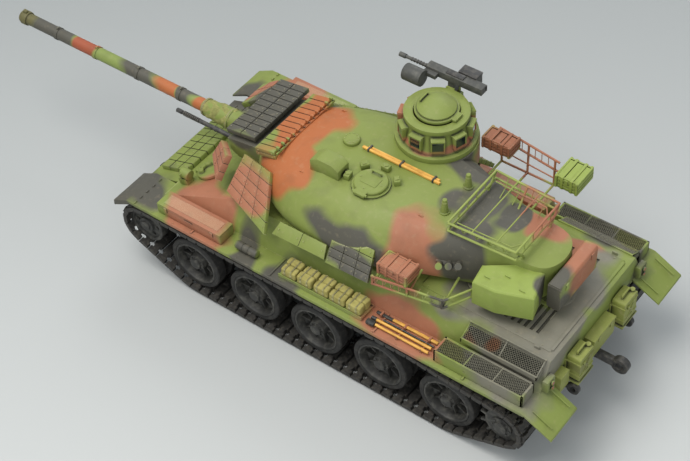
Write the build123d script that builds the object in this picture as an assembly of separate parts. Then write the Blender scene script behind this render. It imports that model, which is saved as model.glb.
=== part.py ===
from build123d import *
from math import acos, atan2, cos, degrees, hypot, pi, radians, sin, sqrt, tan
import os

# A radio-control tank at one sixteenth scale, in millimetres.  It is drawn with X forward, Y to the left and
# Z up from the ground, about the middle of the hull, and moved at the end so that the origin is under the
# centre of the whole machine, gun included.

# ---------------------------------------------------------------- driving dimensions: hull
HULL_REAR = -193.0          # rear plate
NOSE_X, NOSE_Z = 200.0, 62.0        # upper edge of the nose
DECK_Z = 97.0               # top of the hull roof
GLACIS_TOP_X = 96.0         # where the glacis meets the roof
BELT_Z = 73.0               # the tub and the upper hull part here, and the fenders lie here
FLOOR_Z = 27.5              # underside of the tub: ground clearance
TUB_HALF = 57.0             # half-width of the tub between the tracks
SPONSON_HALF = 74.0         # half-width of the upper hull at the belt
ROOF_HALF = 61.0            # half-width of the upper hull at the roof
PLATE = 2.5                 # hull plate
FENDER_HALF = 96.9          # half-width over the fenders
FENDER_T = 2.0
NOSE_HALF = 56.5            # half-width of the nose between the mudguards

# ---------------------------------------------------------------- driving dimensions: running gear
WHEEL_X = [124.5, 62.5, 0.5, -61.5, -123.5]
WHEEL_R = 25.0
WHEEL_MID = 79.1            # middle of wheels and track, from the centre plane
WHEEL_DISC_W, WHEEL_SLOT = 9.8, 5.8     # width of each half, and the slot for the track horns
TYRE_T = 4.2
ARM_DX, ARM_DZ = 30.0, 11.0     # from the axle forward and up to the arm's pivot
ARM_T = 4.6                 # thickness of a swing arm
PIVOT_R, AXLE_R = 3.5, 3.0
RUN_GAP = 0.06              # radial clearance of every running fit
IDLER_X, IDLER_Z, IDLER_R = 175.5, 47.0, 17.0
SPROCKET_X, SPROCKET_Z, SPROCKET_TEETH = -173.4, 39.7, 12
ROLLER_X, ROLLER_Z, ROLLER_R = [93.0, -92.0], 58.2, 6.0
HUB_PIN_R, ROLLER_PIN_R = 3.5, 1.8      # idler and sprocket shafts, and the rollers' stubs
HORN_H = 3.2                # guide horns stand this far in from the links
TRACK_W = 35.6
TRACK_IN = 2.6              # the pins lie this far from the track's inner face
TRACK_OUT = 2.6             # and this far from the ground
LINK_PITCH_WISH = 9.7
LINK_GAP = 0.45             # between one link and the next
WHEEL_LIFT = 0.45           # air between wheels and track, so that straight links clear round wheels
WHEEL_Z = TRACK_OUT + TRACK_IN + WHEEL_LIFT + WHEEL_R

# ---------------------------------------------------------------- driving dimensions: turret
RING_X = 15.0               # turret axis
RING_Z = 97.3               # underside of the turret's base ring
SPIGOT_R = 50.0             # hole in the hull roof
BASE_R = 58.0               # turret base ring
ROOF_Z = 143.0
SHELL_T = 3.0
GEAR_MODULE, GEAR_TEETH, PINION_TEETH = 1.5, 62, 16
TRUNNION_X, GUN_Z = 92.0, 108.0
DRUM_R = 12.0               # the mantlet's drum, about the trunnions
MASK_LEFT, MASK_RIGHT = 26.0, -41.0     # the mantlet's two ends
MUZZLE_X, BARREL_R = 391.0, 5.6
CUPOLA_X, CUPOLA_Y = -19.0, -48.5
CUPOLA_R, CUPOLA_TOP = 28.0, 171.0
HATCH_X, HATCH_Y, HATCH_R = -9.0, 25.0, 13.5
HOOK_TIP_X = -227.0         # rearmost point of the machine

CENTRE_X = (MUZZLE_X + HOOK_TIP_X) / 2
SEE_GAP = 0.3               # air between faces that pass one another

nodes = {}


# ---------------------------------------------------------------- helpers
def block(x0, x1, y0, y1, z0, z1):
    """A box from corner to corner."""
    return Pos((x0 + x1) / 2, (y0 + y1) / 2, (z0 + z1) / 2) * Box(abs(x1 - x0), abs(y1 - y0), abs(z1 - z0))


def drum(axis, radius, a, b, u, v):
    """A round bar from a to b along X, Y or Z; u and v are its place on the other two axes, in order."""
    middle, length = (a + b) / 2, abs(b - a)
    if axis == "X":
        return Pos(middle, u, v) * Rot(0, 90, 0) * Cylinder(radius, length)
    if axis == "Y":
        return Pos(u, middle, v) * Rot(90, 0, 0) * Cylinder(radius, length)
    return Pos(u, v, middle) * Cylinder(radius, length)


def rod(start, end, radius):
    """A round bar between two points."""
    start, end = Vector(*start), Vector(*end)
    run = end - start
    return Plane(origin=(start + end) / 2, z_dir=run) * Cylinder(radius, run.length)


def rail(points, radius):
    """One bent tube through the points, with round elbows."""
    bar = rod(points[0], points[1], radius)
    for a, b in zip(points[1:], points[2:]):
        bar += Pos(*a) * Sphere(radius) + rod(a, b, radius)
    return bar


def side_plate(outline, y0, y1):
    """An outline in X and Z, given thickness from y0 to y1."""
    face = make_face(Polyline(*[(x, y0, z) for x, z in outline], close=True))
    return extrude(face, amount=y1 - y0, dir=(0, 1, 0))


def cross_plate(outline, x0, x1):
    """An outline in Y and Z, given thickness from x0 to x1."""
    face = make_face(Polyline(*[(x0, y, z) for y, z in outline], close=True))
    return extrude(face, amount=x1 - x0, dir=(1, 0, 0))


def flat_plate(outline, z0, z1):
    """An outline in X and Y, given thickness from z0 to z1."""
    face = make_face(Polyline(*[(x, y, z0) for x, y in outline], close=True))
    return extrude(face, amount=z1 - z0, dir=(0, 0, 1))


def other_side(shape):
    return mirror(shape, about=Plane.XZ)


def both_sides(shape):
    return [shape, other_side(shape)]


def rounded(shape, radius, axis=Axis.Z):
    """The edges along one axis rounded."""
    return fillet(shape.edges().filter_by(axis), radius)


def bricks(plane, width, height, columns, rows, thickness, gap=0.5):
    """A bank of armour bricks on a plane, each with two screw heads; the plane's origin is its middle."""
    brick_w, brick_h = width / columns, height / rows
    bank = []
    for i in range(columns):
        for j in range(rows):
            u = (i + 0.5) * brick_w - width / 2
            v = (j + 0.5) * brick_h - height / 2
            brick = Pos(u, v, thickness / 2) * Box(brick_w - gap, brick_h - gap, thickness)
            brick = chamfer(brick.edges().group_by(Axis.Z)[-1], 0.35)
            bank.append(plane * brick)
    return bank


def save(name, *pieces):
    """Keep one named sub-part, made of one or more separate solids."""
    solids = []
    for piece in pieces:
        for item in piece if isinstance(piece, (list, tuple)) else [piece]:
            solids.extend(item.solids())
    nodes[name] = solids


# ---------------------------------------------------------------- track line
def track_circles(sprocket_pitch_r):
    """The circles that the track's pin line runs round, rear to front below and back above."""
    wheel = WHEEL_R + TRACK_IN + WHEEL_LIFT
    roller = ROLLER_R + TRACK_IN + WHEEL_LIFT
    return [(WHEEL_X[-1], WHEEL_Z, wheel), (WHEEL_X[0], WHEEL_Z, wheel),
            (IDLER_X, IDLER_Z, hypot(IDLER_R + TRACK_IN + 0.05, LINK_PITCH_WISH / 2)),
            (ROLLER_X[0], ROLLER_Z, roller), (ROLLER_X[1], ROLLER_Z, roller),
            (SPROCKET_X, SPROCKET_Z, sprocket_pitch_r)]


def track_line(sprocket_pitch_r):
    """Straight runs and arcs of the pin line: (kind, length, data), and the whole length."""
    circles = track_circles(sprocket_pitch_r)
    normals = []
    for (x0, z0, r0), (x1, z1, r1) in zip(circles, circles[1:] + circles[:1]):
        span, turn = hypot(x1 - x0, z1 - z0), atan2(z1 - z0, x1 - x0)
        normals.append(turn - pi / 2 + atan2(r0 - r1, sqrt(span ** 2 - (r0 - r1) ** 2)))
    parts = []
    count = len(circles)
    for i, (x0, z0, r0) in enumerate(circles):
        x1, z1, r1 = circles[(i + 1) % count]
        before, leave = normals[i - 1], normals[i]
        swing = (leave - before) % (2 * pi)
        parts.append(("arc", r0 * swing, (x0, z0, r0, before)))
        a = (x0 + r0 * cos(leave), z0 + r0 * sin(leave))
        b = (x1 + r1 * cos(leave), z1 + r1 * sin(leave))
        parts.append(("run", hypot(b[0] - a[0], b[1] - a[1]), (a, b)))
    return parts, sum(part[1] for part in parts)


def point_on(parts, distance):
    """The point of the pin line at a distance from its start."""
    for kind, length, data in parts:
        if distance <= length:
            if kind == "arc":
                x, z, r, start = data
                return x + r * cos(start + distance / r), z + r * sin(start + distance / r)
            (ax, az), (bx, bz) = data
            part = distance / length
            return ax + (bx - ax) * part, az + (bz - az) * part
        distance -= length
    return point_on(parts, distance)


pitch = LINK_PITCH_WISH
link_count = round(track_line(SPROCKET_TEETH * pitch / (2 * pi))[1] / pitch)
for _ in range(30):
    sprocket_pitch_r = SPROCKET_TEETH * pitch / (2 * pi)
    line, line_length = track_line(sprocket_pitch_r)
    pitch = line_length / link_count
pins = [point_on(line, i * pitch) for i in range(link_count)]
rear_pin = min(pins)
tooth_phase = atan2(rear_pin[1] - SPROCKET_Z, rear_pin[0] - SPROCKET_X)     # a tooth stands at every pin


def track_link():
    """One link along X about its own middle, pins at z = 0: body, ground pad, horn and sprocket windows."""
    half = pitch / 2 - LINK_GAP / 2
    narrow = half - 0.85
    deep, top = -TRACK_OUT, TRACK_IN
    body = side_plate([(-narrow, top), (narrow, top), (half, 0.4), (half, -1.0), (-half, -1.0), (-half, 0.4)],
                      -TRACK_W / 2, TRACK_W / 2)
    pad = block(-half + 1.0, half - 1.0, -TRACK_W / 2 + 1.5, TRACK_W / 2 - 1.5, deep, -0.8)
    horn = side_plate([(-2.4, top - 0.2), (2.4, top - 0.2), (1.0, top + HORN_H), (-1.0, top + HORN_H)], -1.6, 1.6)
    link = body + pad + horn
    for end in (-1, 1):
        for side in (-1, 1):
            window = block(end * (half - 2.3), end * (half + 1), 0, 4.2, deep - 1, top + 1)
            link -= Pos(0, side * TOOTH_Y - 2.1, 0) * window
    return link


TOOTH_Y = 11.6              # the sprocket's toothed rings, either side of the middle


def make_track():
    """Every link of the left track, laid pin to pin round the wheels."""
    link, laid = track_link(), []
    for (ax, az), (bx, bz) in zip(pins, pins[1:] + pins[:1]):
        tilt = -degrees(atan2(bz - az, bx - ax))
        laid.append(Pos((ax + bx) / 2, WHEEL_MID, (az + bz) / 2) * Rot(0, tilt, 0) * link)
    return laid


# ---------------------------------------------------------------- wheels
def road_wheel():
    """A twin-disc road wheel about the origin, axle along Y, outer side at +Y: rim with hub, and two tyres."""
    inner, outer = -WHEEL_SLOT / 2 - WHEEL_DISC_W, WHEEL_SLOT / 2 + WHEEL_DISC_W
    rim_r = WHEEL_R - TYRE_T
    tyres = []
    for a, b in ((inner, -WHEEL_SLOT / 2), (WHEEL_SLOT / 2, outer)):
        tyre = drum("Y", WHEEL_R, a, b, 0, 0) - drum("Y", rim_r, a - 1, b + 1, 0, 0)
        tyres.append(fillet(tyre.edges().filter_by(GeomType.CIRCLE).filter_by(lambda e: e.radius > rim_r + 1), 0.8))
    rim = drum("Y", rim_r, inner, outer, 0, 0) - drum("Y", rim_r - 2.5, 3.5, outer + 1, 0, 0)
    rim -= drum("Y", rim_r - 2.5, inner - 1, -3.5, 0, 0)
    rim -= drum("Y", WHEEL_R, -WHEEL_SLOT / 2, WHEEL_SLOT / 2, 0, 0) - drum("Y", 12.0, -9, 9, 0, 0)
    rim += drum("Y", 12.0, -3.5, 3.5, 0, 0)
    rim += drum("Y", 7.0, inner + 1, outer - 1.2, 0, 0)
    rim += drum("Y", 5.0, outer - 2, outer + 1.2, 0, 0)
    for k in range(8):
        a = k * pi / 4
        rim += drum("Y", 1.1, 3, 5.2, 10.2 * cos(a), 10.2 * sin(a))
    rim -= drum("Y", AXLE_R + RUN_GAP, inner - 1, 9.0, 0, 0)
    return tyres, rim


def sprocket():
    """A toothed drive wheel with its shaft, axle along Y."""
    outline = []
    for k in range(SPROCKET_TEETH):
        middle = 2 * pi * k / SPROCKET_TEETH + tooth_phase
        for turn, r in ((-0.078, sprocket_pitch_r - 3.7), (-0.062, sprocket_pitch_r - 1.2),
                        (-0.040, sprocket_pitch_r + 0.9), (0.040, sprocket_pitch_r + 0.9),
                        (0.062, sprocket_pitch_r - 1.2), (0.078, sprocket_pitch_r - 3.7)):
            outline.append((r * cos(middle + turn), r * sin(middle + turn)))
    wheel = drum("Y", 9.0, -TOOTH_Y - 2.6, TOOTH_Y + 3.4, 0, 0)
    for side in (-1, 1):
        wheel += side_plate(outline, side * TOOTH_Y - 1.3, side * TOOTH_Y + 1.3)
    wheel += drum("Y", 5.5, TOOTH_Y, TOOTH_Y + 5.2, 0, 0)
    wheel += drum("Y", HUB_PIN_R, TUB_HALF - 14 - WHEEL_MID, 0, 0, 0)
    for k in range(8):
        a = k * pi / 4
        wheel += drum("Y", 0.9, TOOTH_Y + 2, TOOTH_Y + 4.2, 7.4 * cos(a), 7.4 * sin(a))
    return wheel


def idler():
    """The front idler: two plain discs on one hub."""
    wheel = drum("Y", 7.0, -13.0, 13.0, 0, 0)
    for side in (-1, 1):
        disc = drum("Y", IDLER_R, side * 8 - 4.2, side * 8 + 4.2, 0, 0)
        cup = drum("Y", IDLER_R - 3.0, side * 10.4, side * 13.4, 0, 0)
        wheel += disc - (cup - drum("Y", 7.0, side * 9, side * 15, 0, 0))
    for k in range(6):
        a = k * pi / 3
        wheel -= drum("Y", 1.9, -15, 15, 10.6 * cos(a), 10.6 * sin(a))
    wheel += drum("Y", 4.4, 12.0, 14.6, 0, 0)
    return wheel - drum("Y", HUB_PIN_R + RUN_GAP, -20, 10, 0, 0)


def roller():
    """A return roller: two small flanges on one hub."""
    wheel = drum("Y", 2.9, -9.0, 9.0, 0, 0)
    for side in (-1, 1):
        wheel += drum("Y", ROLLER_R, side * 6 - 2.8, side * 6 + 2.8, 0, 0)
    return wheel - drum("Y", ROLLER_PIN_R + RUN_GAP, -20, 6, 0, 0)


def swing_arm():
    """A trailing arm about its axle: lever beside the tub, pivot into the tub, axle into the wheel."""
    plane_in = TUB_HALF + SEE_GAP - WHEEL_MID
    plane_out = plane_in + ARM_T
    lever = drum("Y", 6.0, plane_in, plane_out, 0, 0) + drum("Y", 7.0, plane_in, plane_out, ARM_DX, ARM_DZ)
    reach, lean = hypot(ARM_DX, ARM_DZ), degrees(atan2(ARM_DZ, ARM_DX))
    bar = Rot(0, -lean, 0) * block(0, reach, plane_in, plane_out, -4.2, 4.2)
    pivot = drum("Y", PIVOT_R, plane_in - PLATE - 3.5, plane_in + 1, ARM_DX, ARM_DZ)
    axle = drum("Y", AXLE_R, plane_in + 1, 8.6, 0, 0)
    return lever + bar + pivot + axle


# ---------------------------------------------------------------- hull
GLACIS_RISE = (DECK_Z - NOSE_Z) / (NOSE_X - GLACIS_TOP_X)
GLACIS_ANGLE = degrees(atan2(DECK_Z - NOSE_Z, NOSE_X - GLACIS_TOP_X))
GLACIS_T = PLATE / cos(radians(GLACIS_ANGLE))       # the glacis plate, measured upright


def glacis_z(x):
    return NOSE_Z + (NOSE_X - x) * GLACIS_RISE


def glacis_x(z):
    return NOSE_X - (z - NOSE_Z) / GLACIS_RISE


def glacis_plane(x, y):
    """A plane on the glacis: its own X runs down the slope and its Z stands off the armour."""
    tilt = radians(GLACIS_ANGLE)
    return Plane(origin=(x, y, glacis_z(x)), x_dir=(cos(tilt), 0, -sin(tilt)), z_dir=(sin(tilt), 0, cos(tilt)))


def pivot_points():
    return [(x + ARM_DX, WHEEL_Z + ARM_DZ) for x in WHEEL_X]


def make_tub():
    """The lower hull: a tub with the swing arms' bearings, the idler and roller stubs and the nose wedge."""
    top_front = glacis_x(BELT_Z + GLACIS_T)
    outside = [(HULL_REAR, BELT_Z), (HULL_REAR, 44.0), (HULL_REAR + 16, FLOOR_Z), (166.0, FLOOR_Z),
               (NOSE_X, NOSE_Z - GLACIS_T - 4.0), (NOSE_X, NOSE_Z - GLACIS_T), (top_front, BELT_Z)]
    inside = [(HULL_REAR + PLATE, BELT_Z + 1), (HULL_REAR + PLATE, 45.0), (HULL_REAR + 17.4, FLOOR_Z + PLATE),
              (164.0, FLOOR_Z + PLATE), (176.0, 44.0), (top_front - 3, BELT_Z), (top_front - 3, BELT_Z + 1)]
    tub = side_plate(outside, -NOSE_HALF, NOSE_HALF)
    mid = block(HULL_REAR, 160, -TUB_HALF, TUB_HALF, FLOOR_Z, BELT_Z)
    tub += side_plate(outside, -TUB_HALF, TUB_HALF) & mid
    tub -= side_plate(inside, -TUB_HALF + PLATE, TUB_HALF - PLATE)
    for side in (-1, 1):
        wall_in, wall_out = side * (TUB_HALF - PLATE - 4), side * TUB_HALF
        for x, z in pivot_points():
            tub += drum("Y", PIVOT_R + 3, wall_in, side * (TUB_HALF - 1), x, z)
            tub -= drum("Y", PIVOT_R + RUN_GAP, side * (TUB_HALF - 12), side * (TUB_HALF + 2), x, z)
        tub += drum("Y", 9.0, side * (TUB_HALF - 2), side * (TUB_HALF + 4.5), SPROCKET_X, SPROCKET_Z)
        tub -= drum("Y", HUB_PIN_R + RUN_GAP, side * (TUB_HALF - 12), side * (TUB_HALF + 9), SPROCKET_X, SPROCKET_Z)
        tub += drum("Y", 8.0, side * (TUB_HALF - 2), side * (TUB_HALF + 5), IDLER_X, IDLER_Z)
        tub += drum("Y", HUB_PIN_R, wall_out, side * (WHEEL_MID + 9.4), IDLER_X, IDLER_Z)
        for x in ROLLER_X:
            tub += drum("Y", 4.5, side * (TUB_HALF - 2), side * (TUB_HALF + 8), x, ROLLER_Z)
            tub += drum("Y", ROLLER_PIN_R, wall_out, side * (WHEEL_MID + 5.4), x, ROLLER_Z)
    slot = block(SWITCH_X - 3.6, SWITCH_X + SWITCH_TRAVEL + 3.6, -1.8, 1.8, FLOOR_Z - 1, FLOOR_Z + PLATE + 1)
    return tub - slot


SWITCH_X, SWITCH_TRAVEL = 98.0, 4.0
ENGINE_BAY = (-184.0, -74.0, 50.0)      # rear, front and half-width of the opening under the engine deck
DRIVER_X, DRIVER_Y, DRIVER_R = 146.0, 38.0, 11.0


def make_deck():
    """The upper hull: sponsons, roof and glacis in one shell, with the turret hole and the engine opening."""
    front_low = glacis_x(BELT_Z + GLACIS_T)
    outline = [(HULL_REAR, BELT_Z), (HULL_REAR, DECK_Z), (GLACIS_TOP_X, DECK_Z), (NOSE_X, NOSE_Z),
               (NOSE_X, NOSE_Z - GLACIS_T), (front_low, BELT_Z)]
    section = [(-NOSE_HALF, NOSE_Z - 5), (-NOSE_HALF, BELT_Z), (-SPONSON_HALF, BELT_Z), (-ROOF_HALF, DECK_Z + 1),
               (ROOF_HALF, DECK_Z + 1), (SPONSON_HALF, BELT_Z), (NOSE_HALF, BELT_Z), (NOSE_HALF, NOSE_Z - 5)]
    shell = side_plate(outline, -SPONSON_HALF, SPONSON_HALF) & cross_plate(section, HULL_REAR, NOSE_X)
    hollow_out = [(HULL_REAR + PLATE, BELT_Z - 1), (HULL_REAR + PLATE, DECK_Z - PLATE),
                  (GLACIS_TOP_X - 0.4, DECK_Z - PLATE), (front_low - 1, BELT_Z + 0.3), (front_low - 1, BELT_Z - 1)]
    slope = (SPONSON_HALF - ROOF_HALF) / (DECK_Z + 1 - BELT_Z)
    wall = PLATE * sqrt(1 + slope ** 2)
    inner = [(-TUB_HALF + PLATE, BELT_Z - 2), (-TUB_HALF + PLATE, BELT_Z + PLATE),
             (-SPONSON_HALF + wall + slope * PLATE, BELT_Z + PLATE), (-ROOF_HALF + wall, DECK_Z + 1)]
    inner += [(-y, z) for y, z in reversed(inner)]
    shell -= side_plate(hollow_out, -SPONSON_HALF, SPONSON_HALF) & cross_plate(inner, HULL_REAR, NOSE_X)
    shell -= drum("Z", SPIGOT_R, DECK_Z - 9, DECK_Z + 9, RING_X, 0)
    rear, front, half = ENGINE_BAY
    shell -= block(rear, front, -half, half, DECK_Z - 9, DECK_Z + 9)
    return shell - driver_plane() * Cylinder(DRIVER_R - 2.0, 30)


def driver_plane():
    return glacis_plane(DRIVER_X, DRIVER_Y)


def make_engine_deck():
    """The bolted cover over the engine bay: plate, two doors with strap hinges, louvres and a round vent."""
    rear, front, half = ENGINE_BAY
    top = DECK_Z + 0.6
    cover = block(rear - 4, front - 1, -half - 4, half + 4, DECK_Z, top)
    cover += block(rear + 0.3, front - 0.3, -half + 0.3, half - 0.3, DECK_Z - 2, DECK_Z)
    cover -= drum("Z", 11.0, DECK_Z - 5, top + 1, -112, 24)
    cover -= drum("Z", 11.0, DECK_Z - 5, top + 1, -112, -24)
    for side in (-1, 1):
        for k in range(7):
            x = rear + 12 + k * 5.5
            cover -= block(x, x + 2.4, side * 8, side * 44, top - 1.2, top + 1)
    pieces = [cover]
    for side in (-1, 1):
        ring = drum("Z", 13.0, top, top + 0.4, -112, side * 24) - drum("Z", 10.4, top - 1, top + 1, -112, side * 24)
        pieces.append(ring)
        for k in (0, 1):
            strap = block(front - 26 - k * 20, front - 12 - k * 20, side * 2.0, side * 5.6, top, top + 0.4)
            pieces.append(strap)
    return pieces


def make_fender(side):
    """One track guard: flat plate, turned-down lip, front mudguard and rear flap."""
    y_in, y_out = side * (TUB_HALF + 0.2), side * FENDER_HALF
    top, under = BELT_Z, BELT_Z - FENDER_T
    outline = [(HULL_REAR - 24.5, under - 12.5), (HULL_REAR - 24.0, under - 10.7), (HULL_REAR, top),
               (165.0, top), (188.0, top), (204.0, top - 8.5), (204.0, under - 8.5), (187.4, under),
               (HULL_REAR, under)]
    guard = side_plate(outline, min(y_in, y_out), max(y_in, y_out))
    inner_cut = side * 59.0
    guard -= block(164.0, 215.0, 0, inner_cut, top - 30, top + 5)
    guard -= block(HULL_REAR - 40, HULL_REAR - 0.2, 0, side * 60.6, top - 30, top + 5)
    lip = block(HULL_REAR, 187.4, side * (FENDER_HALF - 1.2), y_out, under - 1.0, under + 0.5)
    nose_lip = side_plate([(187.4, under), (204, under - 8.5), (204, under - 12.0), (187.4, under - 2.5)],
                          min(side * (FENDER_HALF - 1.2), y_out), max(side * (FENDER_HALF - 1.2), y_out))
    guard += lip + nose_lip
    for x in (-140.0, -60.0, 40.0, 120.0):
        guard += block(x, x + 1.6, side * (SPONSON_HALF + 0.3), side * (FENDER_HALF - 1.2), top - 0.2, top + 0.8)
    return guard


def make_side_grilles():
    """Air grilles over the engine: a box on each fender and a sloped frame on each side of the hull."""
    pieces = []
    for side in (-1, 1):
        low, high = sorted((side * 76.0, side * 92.7))
        box = block(-189, -112, low, high, BELT_Z + 0.8, 85.0)
        box -= block(-187, -114, low + 1.6, high - 1.6, BELT_Z, 83.4)
        pieces.append(box)
        slope = (SPONSON_HALF - ROOF_HALF) / (DECK_Z + 1 - BELT_Z)
        hull_y = SPONSON_HALF - slope * (86.0 - BELT_Z)
        roof_y = SPONSON_HALF - slope * (DECK_Z - BELT_Z)
        outline = [(hull_y, 86.0), (75.0, 86.0), (75.0, 90.6), (roof_y, 98.0), (roof_y - 3.0, 98.0),
                   (roof_y - 3.0, DECK_Z), (roof_y, DECK_Z)]
        pieces.append(cross_plate([(side * y, z) for y, z in outline], -190.0, -124.0))
    return pieces


def make_glacis_armour():
    """Reactive bricks on the glacis, with a bare strip up the middle for the driver's view."""
    bank = bricks(glacis_plane(180.0, 0.0), 30.0, 92.0, 3, 10, 4.2)
    bank += bricks(glacis_plane(148.0, -24.0), 24.0, 44.0, 2, 5, 4.2)
    return bank


def make_lamps():
    """Head lamps and horn on the glacis, and the tail-lamp clusters on the rear plate."""
    pieces = []
    for side in (-1, 1):
        base = glacis_plane(158.0, side * 54.5)
        head = drum("X", 4.6, 154.0, 163.0, side * 54.5, glacis_z(158.0) + 9.6)
        head = fillet(head.edges().filter_by(GeomType.CIRCLE).sort_by(Axis.X)[-1], 1.4)
        pieces.append(head + base * Pos(0, 0, 3.0) * Box(9, 8, 6.0))
        lens_low, lens_high = sorted((side * 62.0, side * 72.0))
        tail = block(HULL_REAR - 5.0, HULL_REAR, lens_low, lens_high, BELT_Z + 2, BELT_Z + 13)
        pieces.append(rounded(tail, 1.0, Axis.Y))
        for k in range(2):
            z = BELT_Z + 4.8 + 5.2 * k
            pieces.append(drum("X", 1.9, HULL_REAR - 6.6, HULL_REAR - 5.0, side * 67.0, z))
    return pieces


def make_rear_stowage():
    """Jerrycans in their brackets, a locker and the telephone box, all on the rear plate."""
    pieces = []
    for y, low in ((29.0, 58.0), (-36.0, 58.0)):
        can = rounded(block(HULL_REAR - 12.5, HULL_REAR - 1.2, y - 9.5, y + 9.5, low, low + 25), 2.2, Axis.X)
        can += rail([(HULL_REAR - 7, y - 5, low + 24), (HULL_REAR - 7, y - 5, low + 28),
                     (HULL_REAR - 7, y + 5, low + 28), (HULL_REAR - 7, y + 5, low + 24)], 0.8)
        can += drum("Z", 2.0, low + 24, low + 26.6, HULL_REAR - 9, y - 7.2)
        pieces.append(can)
        back = block(HULL_REAR - 1.2, HULL_REAR, y - 11, y + 11, low - 1, low + 20)
        shelf = block(HULL_REAR - 13.2, HULL_REAR - 1.2, y - 11, y + 11, low - 1.4, low)
        pieces.append(back + shelf)
    locker = rounded(block(HULL_REAR - 9.0, HULL_REAR, -19.0, 12.0, 58.0, 76.0), 1.2, Axis.X)
    pieces.append(locker)
    phone = rounded(block(HULL_REAR - 7.0, HULL_REAR, 44.0, 56.0, 60.0, 76.0), 1.0, Axis.X)
    pieces.append(phone)
    return pieces


def hook(x, y, z, out):
    """A tow eye: base plate, stem and ring; out is +1 for the nose and -1 for the rear."""
    low, high = sorted((x, x + out * 2.0))
    piece = block(low, high, y - 5.5, y + 5.5, z - 5, z + 5)
    piece += drum("X", 2.4, x + out * 1.5, x + out * 7.5, y, z)
    eye = drum("Y", 5.2, y - 1.8, y + 1.8, x + out * 9.6, z) - drum("Y", 2.6, y - 3, y + 3, x + out * 9.6, z)
    return piece + eye


def make_tow_hooks():
    """The rear pintle, which is the machine's rearmost point, two rear tow eyes and two at the nose."""
    z_rear = 50.0
    pintle = block(HULL_REAR - 2.5, HULL_REAR, -8, 8, 43.5, 56)
    pintle += drum("X", 4.0, HULL_REAR - 22, HULL_REAR - 2, 0, z_rear)
    jaw = drum("Y", 7.0, -3, 3, HOOK_TIP_X + 7.0, z_rear) - drum("Y", 3.4, -5, 5, HOOK_TIP_X + 7.0, z_rear)
    pieces = [pintle + jaw]
    pieces += both_sides(hook(HULL_REAR, 40.0, 51.0, -1))
    nose = NOSE_Z - GLACIS_T - 2.0
    for side in (-1, 1):
        eye = drum("Y", 4.6, side * 34.0, side * 38.0, NOSE_X + 1.6, nose - 4)
        pieces.append((eye - drum("Y", 2.2, side * 33, side * 39, NOSE_X + 2.8, nose - 4)) - nose_solid())
    return pieces


def nose_solid():
    """The space that the nose of the tub fills."""
    return side_plate([(140.0, FLOOR_Z), (166.0, FLOOR_Z), (NOSE_X, NOSE_Z - GLACIS_T - 4.0), (NOSE_X, NOSE_Z),
                       (140.0, NOSE_Z + 20)], -TUB_HALF, TUB_HALF)


def make_fender_stowage():
    """Lockers, soft packs and tools carried on the fenders."""
    top = BELT_Z
    pieces = [block(-46.0, 34.0, 76.0, 92.0, top, top + 2.6)]
    for k in range(5):
        x = -44.5 + 15.6 * k
        pack = block(x, x + 14.6, 77.0, 91.0, top + 2.9, top + 11.5)
        pieces.append(fillet(pack.edges(), 2.4))
    for side in (-1, 1):
        low, high = sorted((side * 75.4, side * 92.5))
        locker = block(92.0, 158.0, low, high, top + 0.8, top + 11.0)
        pieces.append(chamfer(locker.edges().group_by(Axis.Z)[-1], 1.2))
    tube = Pos(70, 86, top + 4.2) * Rot(0, 90, 0) * Cylinder(3.6, 22)
    pieces.append(fillet(tube.edges(), 1.6))
    pieces.append(block(-108.0, -50.0, 77.0, 80.2, top + 1.0, top + 3.2))
    pieces.append(rod((-106.0, 86.0, top + 2.8), (-52.0, 86.0, top + 2.8), 1.3))
    pieces.append(rod((-106.0, 90.4, top + 2.8), (-58.0, 90.4, top + 2.8), 1.3))
    pieces.append(block(-57.6, -50.0, 88.4, 93.4, top + 1.2, top + 5.0))
    right_box = block(-104.0, 60.0, -92.5, -76.4, top + 0.8, top + 12.0)
    pieces.append(chamfer(right_box.edges().group_by(Axis.Z)[-1], 1.2))
    return pieces


# ---------------------------------------------------------------- turret
# Half outlines of the cast turret, nose to tail, at rising heights; its widest level is about a third of the way up.
TURRET_LEVELS = [
    (RING_Z + 2.7, [(92, 0), (88, 26), (70, 44), (40, 58), (5, 63), (-30, 60), (-64, 47), (-98, 35), (-132, 26),
                    (-152, 20), (-158, 0)]),
    (112.0, [(103, 0), (98, 30), (78, 50), (44, 65), (5, 70), (-32, 67), (-66, 54), (-98, 40), (-132, 29),
             (-158, 22), (-165, 0)]),
    (128.0, [(97, 0), (92, 28), (72, 46), (40, 58), (5, 63), (-30, 60), (-64, 49), (-98, 37), (-132, 27),
             (-159, 20), (-166, 0)]),
    (138.5, [(78, 0), (73, 22), (55, 36), (32, 47), (3, 52), (-28, 49), (-62, 40), (-98, 31), (-132, 23),
             (-160, 17), (-166, 0)]),
    (ROOF_Z, [(56, 0), (53, 16), (41, 28), (24, 38), (2, 43), (-26, 41), (-60, 34), (-97, 26), (-130, 19),
              (-156, 14), (-162, 0)]),
]


def turret_body(inset):
    """The cast body, or with an inset its inside."""
    faces = []
    middle = -30.0
    for z, half in TURRET_LEVELS:
        points = half + [(x, -y) for x, y in reversed(half[1:-1])]
        points = [(x - inset * (x - middle) / 95.0, y * (1 - inset / 60.0)) for x, y in points]
        top_inset = inset if z == ROOF_Z else 0.0
        faces.append(make_face(Spline(*[(x, y, z - top_inset) for x, y in points], periodic=True)))
    return loft(faces)


def bustle_slope(extra=0.0):
    """What lies above the roof where it falls away over the bustle."""
    fall = 6.5
    return side_plate([(-45.0, ROOF_Z - extra), (-200.0, ROOF_Z - fall * 1.22 - extra), (-200.0, ROOF_Z + 20),
                       (-45.0, ROOF_Z + 20)], -60, 60)


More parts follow.
